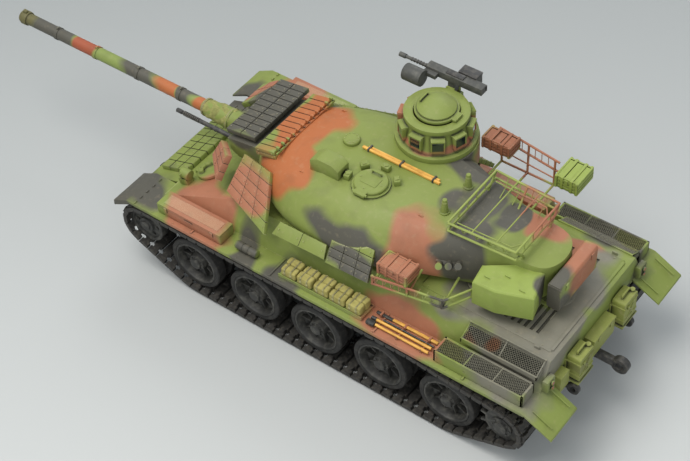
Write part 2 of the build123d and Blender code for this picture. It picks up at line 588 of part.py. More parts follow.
def make_turret_skin():
    """The outside of the casting as one solid, with the cupola's seat and the hatch rim."""
    seat = drum("Z", CUPOLA_R + 6.0, 112.0, ROOF_Z, CUPOLA_X, CUPOLA_Y)
    seat = chamfer(seat.edges().filter_by(GeomType.CIRCLE).sort_by(Axis.Z)[0], 9.0)
    rim = drum("Z", HATCH_R + 1.6, ROOF_Z - SHELL_T, ROOF_Z + 1.6, HATCH_X, HATCH_Y)
    return turret_body(0.0) - bustle_slope() + seat + rim


turret_skin = make_turret_skin()


def make_turret_shell():
    """The turret casting with its base ring, ring gear, cupola seat, hatch rim and mantlet opening."""
    shell = turret_skin
    shell -= turret_body(SHELL_T) - bustle_slope(SHELL_T)
    shell += drum("Z", HATCH_R + 1.6, ROOF_Z - SHELL_T, ROOF_Z + 1.6, HATCH_X, HATCH_Y)
    shell -= drum("Z", CUPOLA_R - 6.0, ROOF_Z - 20, ROOF_Z + 5, CUPOLA_X, CUPOLA_Y)
    shell -= drum("Z", HATCH_R - 1.6, ROOF_Z - 9, ROOF_Z + 9, HATCH_X, HATCH_Y)
    front_wall = TRUNNION_X - DRUM_R - 2.0
    shell += block(front_wall - 5, front_wall, MASK_RIGHT - 1, MASK_LEFT + 1, RING_Z + 2.7, 131.0) & turret_body(0.0)
    shell -= block(front_wall, 150, MASK_RIGHT - SEE_GAP, MASK_LEFT + SEE_GAP, 90, 150)
    shell -= block(front_wall - 6, front_wall + 1, -8.2, 8.2, RING_Z + 2, GUN_Z + 10.0)
    base = drum("Z", BASE_R, RING_Z, RING_Z + 3.7, RING_X, 0)
    spigot = drum("Z", SPIGOT_R - RUN_GAP, RING_Z - 5.3, RING_Z + 0.5, RING_X, 0)
    teeth = Pos(RING_X, 0, RING_Z - 11.3) * extrude(gear_face(GEAR_TEETH, GEAR_MODULE, 0.0), amount=6.5)
    shell += base + spigot + teeth
    shell -= drum("Z", SPIGOT_R - 9.0, RING_Z - 20, RING_Z + 4.5, RING_X, 0)
    for side in (-1, 1):
        low, high = sorted((side * 9.5, side * 12.5))
        ear = block(front_wall - 4, TRUNNION_X + 3.0, low, high, GUN_Z - 4.0, GUN_Z + 4.0)
        ear -= drum("Y", 2.0 + RUN_GAP, low - 1, high + 1, TRUNNION_X, GUN_Z)
        shell += ear
    return shell


def gear_face(teeth, module, phase):
    """A spur gear's outline, with twenty-degree involute flanks and some backlash."""
    pitch_r = teeth * module / 2
    base_r = pitch_r * cos(radians(20))
    tip_r, root_r = pitch_r + 0.85 * module, pitch_r - 1.15 * module
    lead = radians(20)
    half_pitch = pi / (2 * teeth) - 0.11 * module / pitch_r + tan(lead) - lead

    def half_angle(r):
        roll = acos(min(1.0, base_r / r))
        return half_pitch - (tan(roll) - roll)

    start = max(base_r, root_r + 0.1)
    radii = [start + (tip_r - start) * k / 3 for k in range(4)]
    points = []
    for k in range(teeth):
        middle = 2 * pi * k / teeth + phase
        flank = [(root_r, -half_angle(start) - 0.02)] + [(r, -half_angle(r)) for r in radii]
        flank += [(r, -a) for r, a in reversed(flank)]
        points += [(r * cos(middle + a), r * sin(middle + a)) for r, a in flank]
    return make_face(Polyline(*points, close=True))


PINION_X = RING_X - GEAR_MODULE * (GEAR_TEETH + PINION_TEETH) / 2


def make_pinion():
    """The traverse pinion on its shaft; a gap between two teeth faces the ring gear."""
    face = gear_face(PINION_TEETH, GEAR_MODULE, pi / PINION_TEETH)
    gear = Pos(PINION_X, 0, RING_Z - 11.0) * extrude(face, amount=5.5)
    return gear + drum("Z", 1.5, RING_Z - 24.0, RING_Z - 10.0, PINION_X, 0)


def panel_bricks(low_rear, low_front, high_front, high_rear, columns, rows, thickness, gap=0.5):
    """A leaning panel of bricks between four corners; the bricks stand out from the panel by their thickness."""
    corners = [Vector(*p) for p in (low_rear, low_front, high_front, high_rear)]
    along, up = corners[1] - corners[0], corners[3] - corners[0]
    normal = up.cross(along).normalized()
    bank = []

    def at(u, v):
        low = corners[0] + (corners[1] - corners[0]) * u
        high = corners[3] + (corners[2] - corners[3]) * u
        point = low + (high - low) * v
        return point - normal * (point - corners[0]).dot(normal)

    across, tall = along.length, up.length
    for i in range(columns):
        for j in range(rows):
            du, dv = gap / across / 2, gap / tall / 2
            u0, u1 = i / columns + du, (i + 1) / columns - du
            v0, v1 = j / rows + dv, (j + 1) / rows - dv
            face = make_face(Polyline(at(u0, v0), at(u1, v0), at(u1, v1), at(u0, v1), close=True))
            bank.append(extrude(face, amount=thickness, dir=normal))
    return bank


def make_turret_armour():
    """Reactive bricks: cheek, side and corner banks on both sides, and the bank along the roof's front edge."""
    cheek = panel_bricks((50.0, 83.0, 102.0), (104.5, 62.0, 102.0), (104.0, 42.5, 129.0), (70.0, 46.5, 129.0),
                         3, 5, 3.6)
    strip = panel_bricks((-3.0, 77.5, 102.0), (47.0, 78.5, 102.0), (44.0, 70.0, 110.0), (0.0, 69.5, 110.0),
                         2, 1, 3.2)
    side = panel_bricks((-44.0, 78.0, 102.0), (-5.0, 79.0, 102.0), (-2.0, 61.5, 120.0), (-39.0, 60.5, 120.0),
                        3, 4, 3.6)
    mirrored = cheek + strip + side
    for x in (-34.0, -14.0, 8.0, 32.0):
        mirrored.append(block(x, x + 3, 64.0, 74.4, 102.5, 104.3))
    bank = mirrored + [Pos(-10.0, 0, 0) * other_side(piece) for piece in mirrored]
    bank += panel_bricks((116.0, 58.0, 103.0), (137.0, 36.5, 103.0), (134.0, 33.0, 120.0), (114.0, 44.0, 121.0),
                         2, 3, 5.5)
    bank.append(block(97.0, 112.0, 37.0, 44.0, 103.5, 107.0))
    roof = Plane(origin=(85.5, -1.0, 137.0), x_dir=(1, 0, -0.22), z_dir=(0.22, 0, 1))
    bank.append(roof * Pos(0, 0, -4.2) * Box(20.0, 76.0, 3.4))
    bank += bricks(roof.offset(-2.5), 20.0, 76.0, 1, 12, 3.6)
    return [piece - turret_skin for piece in bank]


def make_mantlet():
    """The gun mask: drum on trunnions, wide casting, the bank of bricks over the gun and the sleeve cover."""
    profile = [(TRUNNION_X - 4, 100.8), (124.0, 101.5), (132.0, 106.0), (134.0, 117.0), (106.0, 121.5),
               (TRUNNION_X, GUN_Z + DRUM_R)]
    mask = side_plate(profile, MASK_RIGHT, MASK_LEFT)
    mask += drum("Y", DRUM_R, MASK_RIGHT, MASK_LEFT, TRUNNION_X, GUN_Z) & block(70, 120, -60, 60, 100.8, 130)
    mask -= block(60, 99.0, -13.2, 13.2, 90, 130)
    mask += drum("Y", 2.0, -13.2, 13.2, TRUNNION_X, GUN_Z)
    mask += block(TRUNNION_X - 6, 100, -8.6, 8.6, GUN_Z - 4, GUN_Z + 4)
    breech = block(TRUNNION_X - 17, TRUNNION_X - 5, -6.5, 6.5, GUN_Z - 3.5, GUN_Z + 3.5)
    sleeve = drum("X", 9.0, 126.0, 152.0, 0, GUN_Z) + loft([
        Plane(origin=(150, 0, GUN_Z), z_dir=(1, 0, 0)) * Circle(9.6),
        Plane(origin=(180, 0, GUN_Z), z_dir=(1, 0, 0)) * Circle(7.0)])
    mask += breech + sleeve
    mask -= drum("X", BARREL_R + RUN_GAP, 118.0, 190.0, 0, GUN_Z)
    mask -= drum("X", COAX_R + RUN_GAP, 118.0, 140.0, COAX_Y, COAX_Z)
    pieces = [mask]
    top = Plane(origin=(121.0, -12.0, 123.2), x_dir=(1, 0, -0.15), z_dir=(0.15, 0, 1))
    pieces += bricks(top, 30.0, 72.0, 2, 10, 4.0)
    shield = Plane(origin=(146.0, -34.0, 111.0), x_dir=(0.8, 0, -0.6), z_dir=(0.6, 0, 0.8))
    pieces.append(block(133.6, 150.0, -49.0, -18.0, 103.5, 107.0))
    pieces += bricks(shield, 22.0, 30.0, 2, 3, 4.5)
    return pieces


COAX_Y, COAX_Z, COAX_R = 20.5, 113.0, 2.0


def make_barrel():
    """The gun barrel in its thermal sleeve, with the sleeve's joints and the muzzle collar."""
    tube = drum("X", BARREL_R, 118.0, MUZZLE_X, 0, GUN_Z)
    for x in (205.0, 252.0, 300.0, 346.0):
        tube += drum("X", BARREL_R + 0.5, x, x + 3.0, 0, GUN_Z)
    tube += drum("X", BARREL_R + 0.8, MUZZLE_X - 8.0, MUZZLE_X - 1.5, 0, GUN_Z)
    return tube - drum("X", 3.3, MUZZLE_X - 30.0, MUZZLE_X + 1, 0, GUN_Z)


def make_coax():
    """The small cannon beside the gun, with its flash hider."""
    gun = drum("X", COAX_R, 119.0, 168.0, COAX_Y, COAX_Z)
    gun += drum("X", 1.3, 167.0, 188.0, COAX_Y, COAX_Z)
    gun += drum("X", 1.9, 187.0, 193.0, COAX_Y, COAX_Z)
    return gun - drum("X", 0.8, 180.0, 194.0, COAX_Y, COAX_Z)


# ---------------------------------------------------------------- cupola and hatches
def make_cupola_ring():
    """The commander's cupola: race, drum with vision blocks, rim and the gun's bracket."""
    base_z = ROOF_Z + SEE_GAP
    ring = drum("Z", CUPOLA_R + 5.0, base_z, base_z + 4.5, CUPOLA_X, CUPOLA_Y)
    ring += drum("Z", CUPOLA_R - 6.0 - RUN_GAP, ROOF_Z - 2.5, base_z + 1, CUPOLA_X, CUPOLA_Y)
    wall = Pos(CUPOLA_X, CUPOLA_Y, base_z + 4) * Cone(CUPOLA_R + 1.0, CUPOLA_R - 3.0, CUPOLA_TOP - 5 - base_z - 4,
                                                     align=(Align.CENTER, Align.CENTER, Align.MIN))
    ring += wall
    ring += drum("Z", CUPOLA_R - 2.0, CUPOLA_TOP - 5.2, CUPOLA_TOP - 1.3, CUPOLA_X, CUPOLA_Y)
    for k in range(10):
        turn = k * 36.0 + 18.0
        sight = Pos(CUPOLA_X, CUPOLA_Y, 0) * Rot(0, 0, turn) * block(CUPOLA_R - 7, CUPOLA_R + 1.6, -5.4, 5.4,
                                                                  base_z + 7.5, CUPOLA_TOP - 7.0)
        ring += sight
    ring -= drum("Z", CUPOLA_R - 9.5, ROOF_Z - 5, CUPOLA_TOP + 1, CUPOLA_X, CUPOLA_Y)
    y = CUPOLA_GUN_Y
    pin_x = CUPOLA_X + 7.0
    ring += block(pin_x - 6.0, pin_x + 6.0, y - 5.4, y + 10.0, CUPOLA_GUN_Z - 10.0, CUPOLA_GUN_Z - 6.0)
    for low in (y - 5.4, y + 3.4):
        ring += block(pin_x - 3.6, pin_x + 3.6, low, low + 2.0, CUPOLA_GUN_Z - 7.0, CUPOLA_GUN_Z + 2.6)
    ring -= drum("Y", 1.5 + RUN_GAP, y - 6.0, y + 5.5, pin_x, CUPOLA_GUN_Z)
    return ring


CUPOLA_GUN_Z = 164.5
CUPOLA_GUN_Y = CUPOLA_Y - CUPOLA_R - 5.5
CUPOLA_LID_R = 17.6


def make_cupola_hatch():
    """The cupola's domed lid with its grab handle and hinge lug."""
    lid = drum("Z", CUPOLA_LID_R, CUPOLA_TOP - 0.7, CUPOLA_TOP + 1.3, CUPOLA_X, CUPOLA_Y)
    dome = Pos(CUPOLA_X, CUPOLA_Y, CUPOLA_TOP - 18.0) * Sphere(26.0)
    lid += dome & drum("Z", CUPOLA_LID_R - 2.0, CUPOLA_TOP + 1, CUPOLA_TOP + 12, CUPOLA_X, CUPOLA_Y)
    lug_x = CUPOLA_X - CUPOLA_LID_R
    lid += block(lug_x - 3.0, lug_x + 4, CUPOLA_Y - 5, CUPOLA_Y + 5, CUPOLA_TOP - 0.7, CUPOLA_TOP + 1.3)
    handle = rail([(CUPOLA_X + 12, CUPOLA_Y - 5, CUPOLA_TOP + 1), (CUPOLA_X + 12, CUPOLA_Y - 5, CUPOLA_TOP + 6.5),
                   (CUPOLA_X + 12, CUPOLA_Y + 5, CUPOLA_TOP + 6.5), (CUPOLA_X + 12, CUPOLA_Y + 5, CUPOLA_TOP + 1)],
                  0.7)
    return lid + handle


def make_cupola_gun():
    """The cupola's machine gun with its lamp and ammunition box, on one elevating pin."""
    y, z, mid = CUPOLA_GUN_Y, CUPOLA_GUN_Z, CUPOLA_X + 7.0
    gun = drum("Y", 1.5, y - 5.4, y + 5.4, mid, z)
    gun += block(mid - 3.2, mid + 3.2, y - 3.1, y + 3.1, z - 2.6, z + 7.4)
    gun += block(mid - 28.0, mid + 24.0, y - 4.2, y + 3.4, z + 7.0, z + 13.2)
    gun += drum("X", 1.4, mid + 21.0, mid + 46.0, y, z + 10.0)
    gun += drum("X", 2.0, mid + 45.0, mid + 51.0, y, z + 10.0)
    gun += block(mid - 18.0, mid - 2.0, y - 13.5, y - 4.0, z + 4.0, z + 14.0)
    lamp = drum("X", 7.0, mid + 20.0, mid + 36.0, y + 13.0, z + 8.5)
    lamp -= drum("X", 5.9, mid + 34.5, mid + 37.0, y + 13.0, z + 8.5)
    gun += lamp + block(mid + 12.0, mid + 24.0, y + 2.0, y + 8.0, z + 7.5, z + 11.0)
    return gun


def make_loader_hatch():
    """The round hatch on the left of the roof, with its hinge lug and handle."""
    z = ROOF_Z + 1.6 + 0.6
    lid = drum("Z", HATCH_R, z, z + 2.4, HATCH_X, HATCH_Y)
    lid = chamfer(lid.edges().filter_by(GeomType.CIRCLE).sort_by(Axis.Z)[-1], 0.8)
    lid += block(HATCH_X - 5, HATCH_X + 5, HATCH_Y + HATCH_R - 3, HATCH_Y + HATCH_R + 3.4, z, z + 2.4)
    lid += rail([(HATCH_X - 4, HATCH_Y - 8, z + 2), (HATCH_X - 4, HATCH_Y - 8, z + 5),
                 (HATCH_X + 4, HATCH_Y - 8, z + 5), (HATCH_X + 4, HATCH_Y - 8, z + 2)], 0.6)
    return lid


def make_driver_hatch():
    """The driver's lid on the glacis, with three periscopes and a hinge lug on its lower edge."""
    plane = driver_plane()
    lid = plane * Pos(0, 0, 1.9) * Cylinder(DRIVER_R, 2.6)
    lid += plane * Pos(DRIVER_R, 0, 1.9) * Box(5.0, 9.0, 2.6)
    for turn in (-42, 0, 42):
        lid += plane * Rot(0, 0, turn) * Pos(6.6, 0, 4.4) * Box(3.6, 5.0, 3.4)
    return lid



# ---------------------------------------------------------------- turret stowage and fittings
RAIL_R = 0.95
TRAY_Z = 102.0              # floor of the side trays


def make_stowage_rack():
    """Tube racks: the basket over the bustle, the left side rails and the right side rails."""
    front, rear, wide, high = -84.0, -141.0, 33.0, 153.0
    corners = [(front, wide), (rear, wide - 3.0), (rear, -wide + 3.0), (front, -wide)]
    basket = rail([(x, y, high) for x, y in corners] + [(front, wide, high)], RAIL_R)
    basket += rail([(x, y, high - 8.0) for x, y in corners] + [(front, wide, high - 8.0)], RAIL_R)
    for x, y in corners + [((front + rear) / 2, wide - 1.5), ((front + rear) / 2, -wide + 1.5)]:
        basket += rod((x, y, high), (x, y * 0.55, ROOF_Z - 7.0), RAIL_R)
    side_rack = rail([(-46, 78, 112), (-104, 68, 112), (-118, 51, 118)], RAIL_R)
    side_rack += rail([(-46, 78, 104), (-104, 68, 104), (-118, 51, 110), (-118, 51, 118)], RAIL_R)
    for x, y in ((-47, 77.8), (-75, 73), (-103, 68.2)):
        side_rack += rod((x, y, 103), (x, y, 113), RAIL_R)
        side_rack += rod((x, y, 104), (x + 2, y - 26, 112), RAIL_R)
    right = rail([(-57, -80, 146.5), (-112, -80, 138)], RAIL_R) + rail([(-57, -80, 136.5), (-112, -80, 128)], RAIL_R)
    right += rod((-60, -80, 112), (-108, -80, 112), RAIL_R)
    for x, top in ((-60, 146), (-84, 142.4), (-108, 138.6)):
        right += rod((x, -80, top), (x, -80, 111), RAIL_R) + rod((x, -80, 112), (x, -38, 112), RAIL_R)
    return [piece - turret_skin for piece in (basket, side_rack, right)]


def crate(x0, x1, y0, y1, z0, z1):
    """An open-framed ammunition crate: box with a recessed lid and two battens."""
    body = block(x0, x1, y0, y1, z0, z1) - block(x0 + 1.4, x1 - 1.4, y0 + 1.4, y1 - 1.4, z1 - 1.2, z1 + 1)
    for x in (x0 + (x1 - x0) * 0.3, x0 + (x1 - x0) * 0.7):
        body += block(x - 1.2, x + 1.2, y0 - 0.7, y1 + 0.7, z0, z1 + 0.4)
    return body


def make_turret_crates():
    """Crates and bins carried on the turret."""
    left = crate(-75.0, -48.0, 57.0, 73.0, 113.0, 123.5) - turret_skin
    bin_outline = [(-121.0, 56.0), (-118.0, 38.0), (-140.0, 22.0), (-160.0, 19.0), (-167.0, 45.0), (-140.0, 55.0)]
    bustle_bin = flat_plate(bin_outline, 110.0, 133.5)
    bustle_bin = chamfer(bustle_bin.edges().group_by(Axis.Z)[-1], 1.2) - turret_skin
    rear_bin = block(-178.0, -166.6, -26.0, 26.0, 108.0, 133.0)
    rear_bin = fillet(rear_bin.edges().filter_by(Axis.Y), 2.0)
    right_a = crate(-77.5, -51.5, -77.5, -63.0, 137.0, 148.0)
    right_b = crate(-134.0, -113.5, -94.0, -71.0, 122.0, 134.0)
    return [left, bustle_bin, rear_bin, right_a, right_b]


def make_roof_fittings():
    """Gunner's sight hood, periscopes, ventilator dome, antenna bases, smoke tubes and the cleaning rod."""
    pieces = []
    z = ROOF_Z
    hood = side_plate([(14.0, z), (41.0, z - 3.0), (41.0, z + 8.0), (34.0, z + 12.5), (20.0, z + 12.5),
                       (14.0, z + 9.0)], 22.0, 36.0)
    pieces.append(hood)
    for turn in (20, 70, 120, 170):
        place = Pos(HATCH_X, HATCH_Y, z) * Rot(0, 0, turn + 200)
        pieces.append(place * Pos(HATCH_R + 6.2, 0, 2.4) * Box(5.0, 7.0, 4.8))
    vent = Cylinder(7.0, 3.0, align=(Align.CENTER, Align.CENTER, Align.MIN))
    pieces.append(Pos(32.0, -6.0, z) * fillet(vent.edges().group_by(Axis.Z)[-1], 1.4))
    pieces.append(block(-52.0, 20.0, -5.2, -3.4, z + 0.1, z + 1.9))
    for x, y in ((-70.0, 16.0), (-70.0, -16.0)):
        low = ROOF_Z - 4.0
        base = Pos(x, y, low) * Cylinder(4.2, 4.0, align=(Align.CENTER, Align.CENTER, Align.MIN))
        base += Pos(x, y, low + 4.0) * Cone(3.0, 1.8, 12.0, align=(Align.CENTER, Align.CENTER, Align.MIN))
        pieces.append(base)
    return [piece - turret_skin for piece in pieces]


# ---------------------------------------------------------------- works inside
def make_gearboxes():
    """A motor and gearbox for each track, on the floor of the tub."""
    pieces = []
    for side in (-1, 1):
        low, high = sorted((side * 10.0, side * (TUB_HALF - PLATE - 0.4)))
        box = block(-181.0, -150.0, low, high, FLOOR_Z + PLATE + 6.0, 58.0)
        box -= drum("Y", HUB_PIN_R + RUN_GAP, side * 40.0, side * 60.0, SPROCKET_X, SPROCKET_Z)
        motor = drum("X", 12.0, -150.0, -104.0, side * 32.0, 46.0)
        motor += drum("X", 3.0, -104.0, -101.0, side * 32.0, 46.0)
        foot = block(-172.0, -156.0, side * 26 - 8, side * 26 + 8, FLOOR_Z + PLATE, FLOOR_Z + PLATE + 6.0)
        pieces.append(box + motor + foot)
    return pieces


def make_battery():
    """The battery pack, lying on the floor amidships."""
    pack = block(-70.0, 40.0, -23.0, 23.0, FLOOR_Z + PLATE, FLOOR_Z + PLATE + 26.0)
    pack = fillet(pack.edges().filter_by(Axis.X), 3.0)
    return pack + block(40.0, 46.0, -8.0, 8.0, FLOOR_Z + PLATE + 8, FLOOR_Z + PLATE + 18)


def make_electronics():
    """Receiver board on posts, loudspeaker, traverse motor hung from the roof, and the power switch's body."""
    floor = FLOOR_Z + PLATE
    board = block(112.0, 152.0, -30.0, 30.0, floor + 5.0, floor + 6.6)
    for x in (115.0, 149.0):
        for y in (-27.0, 27.0):
            board += drum("Z", 2.0, floor, floor + 5.0, x, y)
    board += block(120.0, 134.0, -14.0, 6.0, floor + 6.6, floor + 9.0)
    board += block(140.0, 150.0, -24.0, -8.0, floor + 6.6, floor + 15.0)
    speaker = drum("Z", 19.0, floor, floor + 4.0, 66.0, 0) + drum("Z", 12.0, floor + 4.0, floor + 12.0, 66.0, 0)
    plate_z = DECK_Z - PLATE
    motor_top = RING_Z - 13.0
    motor = drum("Z", 10.0, motor_top - 20.0, motor_top, PINION_X, 0)
    motor -= drum("Z", 1.5 + RUN_GAP, motor_top - 12.0, motor_top + 1, PINION_X, 0)
    arm_y = 17.0
    for side in (-1, 1):
        low, high = sorted((side * 8.0, side * (arm_y + 2)))
        motor += block(PINION_X - 4, PINION_X + 4, low, high, motor_top - 4.0, motor_top - 1.0)
        low, high = sorted((side * arm_y, side * (arm_y + 3)))
        motor += block(PINION_X - 4, PINION_X + 4, low, high, motor_top - 4.0, plate_z)
    switch = block(SWITCH_X - 6.0, SWITCH_X + SWITCH_TRAVEL + 6.0, -5.0, 5.0, floor, floor + 7.0)
    switch -= block(SWITCH_X - 2.0 - SEE_GAP, SWITCH_X + SWITCH_TRAVEL + 2.0 + SEE_GAP, -1.5 - SEE_GAP,
                    1.5 + SEE_GAP, floor - 1, floor + 4.0)
    return [board, speaker, motor, switch]


def make_power_switch():
    """The sliding knob of the power switch, reached from below."""
    knob = block(SWITCH_X - 2.0, SWITCH_X + 2.0, -1.5, 1.5, FLOOR_Z - 1.2, FLOOR_Z + PLATE + 3.6)
    return knob


def make_elevation_servo():
    """The gun's servo on the turret ring: case, output boss and bracket."""
    low = RING_Z + 3.7
    case = block(48.0, 70.0, 16.0, 28.0, low, low + 20.0)
    case += block(44.0, 72.0, 20.0, 22.0, low, low + 3.0)
    return case + drum("Y", 3.0, 12.5, 16.0, 64.0, low + 14.0)


# ---------------------------------------------------------------- the whole machine
save("hull_tub", make_tub())
save("hull_deck", make_deck())
save("engine_deck", make_engine_deck())
save("fender_left", make_fender(1))
save("fender_right", make_fender(-1))
save("side_grilles", make_side_grilles())
save("glacis_armour", make_glacis_armour())
save("lamps", make_lamps())
save("rear_stowage", make_rear_stowage())
save("tow_hooks", make_tow_hooks())
save("fender_stowage", make_fender_stowage())
left_track = make_track()
save("track_left", left_track)
save("track_right", [other_side(item) for item in left_track])
save("drive_gearboxes", make_gearboxes())
save("battery", make_battery())
save("electronics", make_electronics())
save("power_switch", make_power_switch())
save("driver_hatch", make_driver_hatch())
save("traverse_pinion", make_pinion())

wheel_pieces = list(road_wheel())
for name, pick in (("left", lambda item: item), ("right", other_side)):
    for number, x in enumerate(WHEEL_X, 1):
        place = Pos(x, WHEEL_MID, WHEEL_Z)
        tyres, rim = wheel_pieces
        save(f"road_wheel_{name}_{number}", [pick(place * tyre) for tyre in tyres], pick(place * rim))
        save(f"swing_arm_{name}_{number}", pick(place * swing_arm()))
    for number, x in enumerate(ROLLER_X, 1):
        save(f"return_roller_{name}_{number}", pick(Pos(x, WHEEL_MID, ROLLER_Z) * roller()))
    save(f"idler_{name}", pick(Pos(IDLER_X, WHEEL_MID, IDLER_Z) * idler()))
    save(f"sprocket_{name}", pick(Pos(SPROCKET_X, WHEEL_MID, SPROCKET_Z) * sprocket()))

save("turret_shell", make_turret_shell())
save("turret_armour", make_turret_armour())
save("stowage_rack", make_stowage_rack())
save("turret_crates", make_turret_crates())
save("roof_fittings", make_roof_fittings())
save("elevation_servo", make_elevation_servo())
save("mantlet", make_mantlet())
save("gun_barrel", make_barrel())
save("coax_cannon", make_coax())
save("cupola_ring", make_cupola_ring())
save("cupola_hatch", make_cupola_hatch())
save("cupola_gun", make_cupola_gun())
save("loader_hatch", make_loader_hatch())

os.makedirs("parts", exist_ok=True)
for name, solids in nodes.items():
    moved = [Pos(-CENTRE_X, 0, 0) * solid for solid in solids]
    export_step(moved[0] if len(moved) == 1 else Compound(moved), f"parts/{name}.step")
print(len(nodes), "nodes,", link_count, "links a side, pitch", round(pitch, 3), "origin at", CENTRE_X)
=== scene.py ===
import bpy
import math
import random
from mathutils import Matrix, Vector


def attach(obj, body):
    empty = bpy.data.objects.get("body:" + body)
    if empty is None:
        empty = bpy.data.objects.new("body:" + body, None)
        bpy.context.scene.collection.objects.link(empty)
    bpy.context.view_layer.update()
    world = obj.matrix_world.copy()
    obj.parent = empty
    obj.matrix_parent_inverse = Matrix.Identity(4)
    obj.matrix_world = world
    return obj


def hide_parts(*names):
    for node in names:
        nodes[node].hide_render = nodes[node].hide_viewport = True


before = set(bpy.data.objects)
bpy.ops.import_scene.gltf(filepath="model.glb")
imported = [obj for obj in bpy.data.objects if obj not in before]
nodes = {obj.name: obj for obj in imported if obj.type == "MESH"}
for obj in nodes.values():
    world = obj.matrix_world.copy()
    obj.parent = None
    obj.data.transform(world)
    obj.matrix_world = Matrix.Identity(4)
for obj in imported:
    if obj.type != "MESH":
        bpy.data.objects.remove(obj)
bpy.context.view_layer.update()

# The camera stands high on the machine's left rear quarter and looks down its length to the gun, tipped a
# little to one side. Its three angles are worked into one rotation.
YAW = math.radians(-51.365)
PITCH = math.radians(-46.774)
ROLL = math.radians(-3.069)
ahead = Vector((math.cos(PITCH) * math.cos(YAW), math.cos(PITCH) * math.sin(YAW), math.sin(PITCH)))
level_right = Vector((math.sin(YAW), -math.cos(YAW), 0.0))
level_up = level_right.cross(ahead)
right = level_right * math.cos(ROLL) + level_up * math.sin(ROLL)
up = level_up * math.cos(ROLL) - level_right * math.sin(ROLL)
bpy.ops.object.camera_add(location=(-0.6167, 0.7175, 1.0189))
camera = bpy.context.object
camera.name = "camera"
camera.rotation_mode = "QUATERNION"
camera.rotation_quaternion = Matrix((right, up, -ahead)).transposed().to_quaternion()
camera.data.lens = 84.79
camera.data.sensor_width = 36.0
camera.data.clip_start = 0.05
bpy.context.scene.camera = camera

# The studio: a flat matt floor, grey, with painted shade that darkens it away from the camera, in a pale
# even surrounding light, with a wide soft light overhead and two weaker ones at the sides.
bpy.ops.mesh.primitive_plane_add(size=30.0, location=(0.0, 0.0, -0.0004))
floor = bpy.context.object
floor.name = "studio_floor"
floor_paint = bpy.data.materials.new("studio_floor")
floor_paint.use_nodes = True
floor_shader = floor_paint.node_tree.nodes["Principled BSDF"]
floor_nodes, floor_links = floor_paint.node_tree.nodes, floor_paint.node_tree.links
floor_place = floor_nodes.new("ShaderNodeTexCoord")
towards_camera = floor_nodes.new("ShaderNodeVectorMath")
towards_camera.operation = "DOT_PRODUCT"
towards_camera.inputs[1].default_value = (-0.65, 0.76, 0.0)
floor_links.new(floor_place.outputs["Object"], towards_camera.inputs[0])
nearness = floor_nodes.new("ShaderNodeMapRange")
nearness.inputs["From Min"].default_value = -0.75
nearness.inputs["From Max"].default_value = 0.35
floor_links.new(towards_camera.outputs["Value"], nearness.inputs["Value"])
# Painted shade: the floor runs from a dark grey far from the camera to a pale grey near it.
floor_painted_shade = floor_nodes.new("ShaderNodeMix")
floor_painted_shade.data_type = "RGBA"
floor_painted_shade.inputs[6].default_value = (0.20, 0.215, 0.215, 1.0)
floor_painted_shade.inputs[7].default_value = (0.52, 0.53, 0.515, 1.0)
floor_links.new(nearness.outputs["Result"], floor_painted_shade.inputs[0])
floor_links.new(floor_painted_shade.outputs[2], floor_shader.inputs["Base Color"])
floor_shader.inputs["Roughness"].default_value = 0.75
floor.data.materials.append(floor_paint)
world = bpy.data.worlds.new("studio_world")
bpy.context.scene.world = world
world.use_nodes = True
world.node_tree.nodes["Background"].inputs["Color"].default_value = (0.86, 0.93, 1.0, 1.0)
world.node_tree.nodes["Background"].inputs["Strength"].default_value = 0.50
LAMPS = (("key_light", (0.35, 0.55, 1.9), 1.3, 34.0, (1.0, 0.98, 0.95)),
         ("fill_light", (-1.5, 1.3, 1.2), 1.4, 12.0, (0.95, 0.98, 1.0)),
         ("back_light", (0.4, -1.7, 1.4), 1.3, 14.0, (0.95, 0.97, 1.0)))
for lamp_name, lamp_place, lamp_size, lamp_power, lamp_colour in LAMPS:
    bpy.ops.object.light_add(type="AREA", location=lamp_place)
    lamp = bpy.context.object
    lamp.name = lamp_name
    lamp.data.size = lamp_size
    lamp.data.energy = lamp_power
    lamp.data.color = lamp_colour
    lamp.rotation_mode = "QUATERNION"
    lamp.rotation_quaternion = (Vector((0.0, 0.0, 0.08)) - Vector(lamp_place)).to_track_quat("-Z", "Y")
bpy.context.scene.view_settings.view_transform = "Standard"


# The lower hull: a moulded plastic tub, near-black with grey dust in place of its three-tone camouflage, as
# painted shade under the track guards, darkened in its hollows by dark washes and painted shade, with the
# swing arms' bearings and the stub axles of idlers and return rollers moulded on.
MM = 0.001
HULL_MIDDLE = 82.0          # the row's origin is this far ahead of the hull's middle


def spot(x, y, z):
    """A point of the hull's own frame in millimetres, as the scene's metres."""
    return Vector(((x - HULL_MIDDLE) * MM, y * MM, z * MM))


def srgb(r, g, b):
    """A colour on the screen's scale of 0 to 255, as the linear colour that shaders take."""
    return tuple((c / 255.0) ** 2.2 for c in (r, g, b)) + (1.0,)


class Strength:
    """A number that changes over a surface; arithmetic on it adds Math nodes."""

    def __init__(self, finish, socket):
        self.finish = finish
        self.socket = socket

    def maths(self, operation, first, second, clamp=False):
        settings = {"operation": operation, "use_clamp": clamp}
        return self.finish.node("ShaderNodeMath", settings, {0: first, 1: second})

    def __add__(self, other):
        return self.maths("ADD", self, other)

    def __radd__(self, other):
        return self.maths("ADD", other, self)

    def __sub__(self, other):
        return self.maths("SUBTRACT", self, other)

    def __rsub__(self, other):
        return self.maths("SUBTRACT", other, self)

    def __mul__(self, other):
        return self.maths("MULTIPLY", self, other)

    def __rmul__(self, other):
        return self.maths("MULTIPLY", other, self)

    def __truediv__(self, other):
        return self.maths("DIVIDE", self, other)

    def held(self):
        """Held between 0 and 1."""
        return self.maths("ADD", self, 0.0, clamp=True)


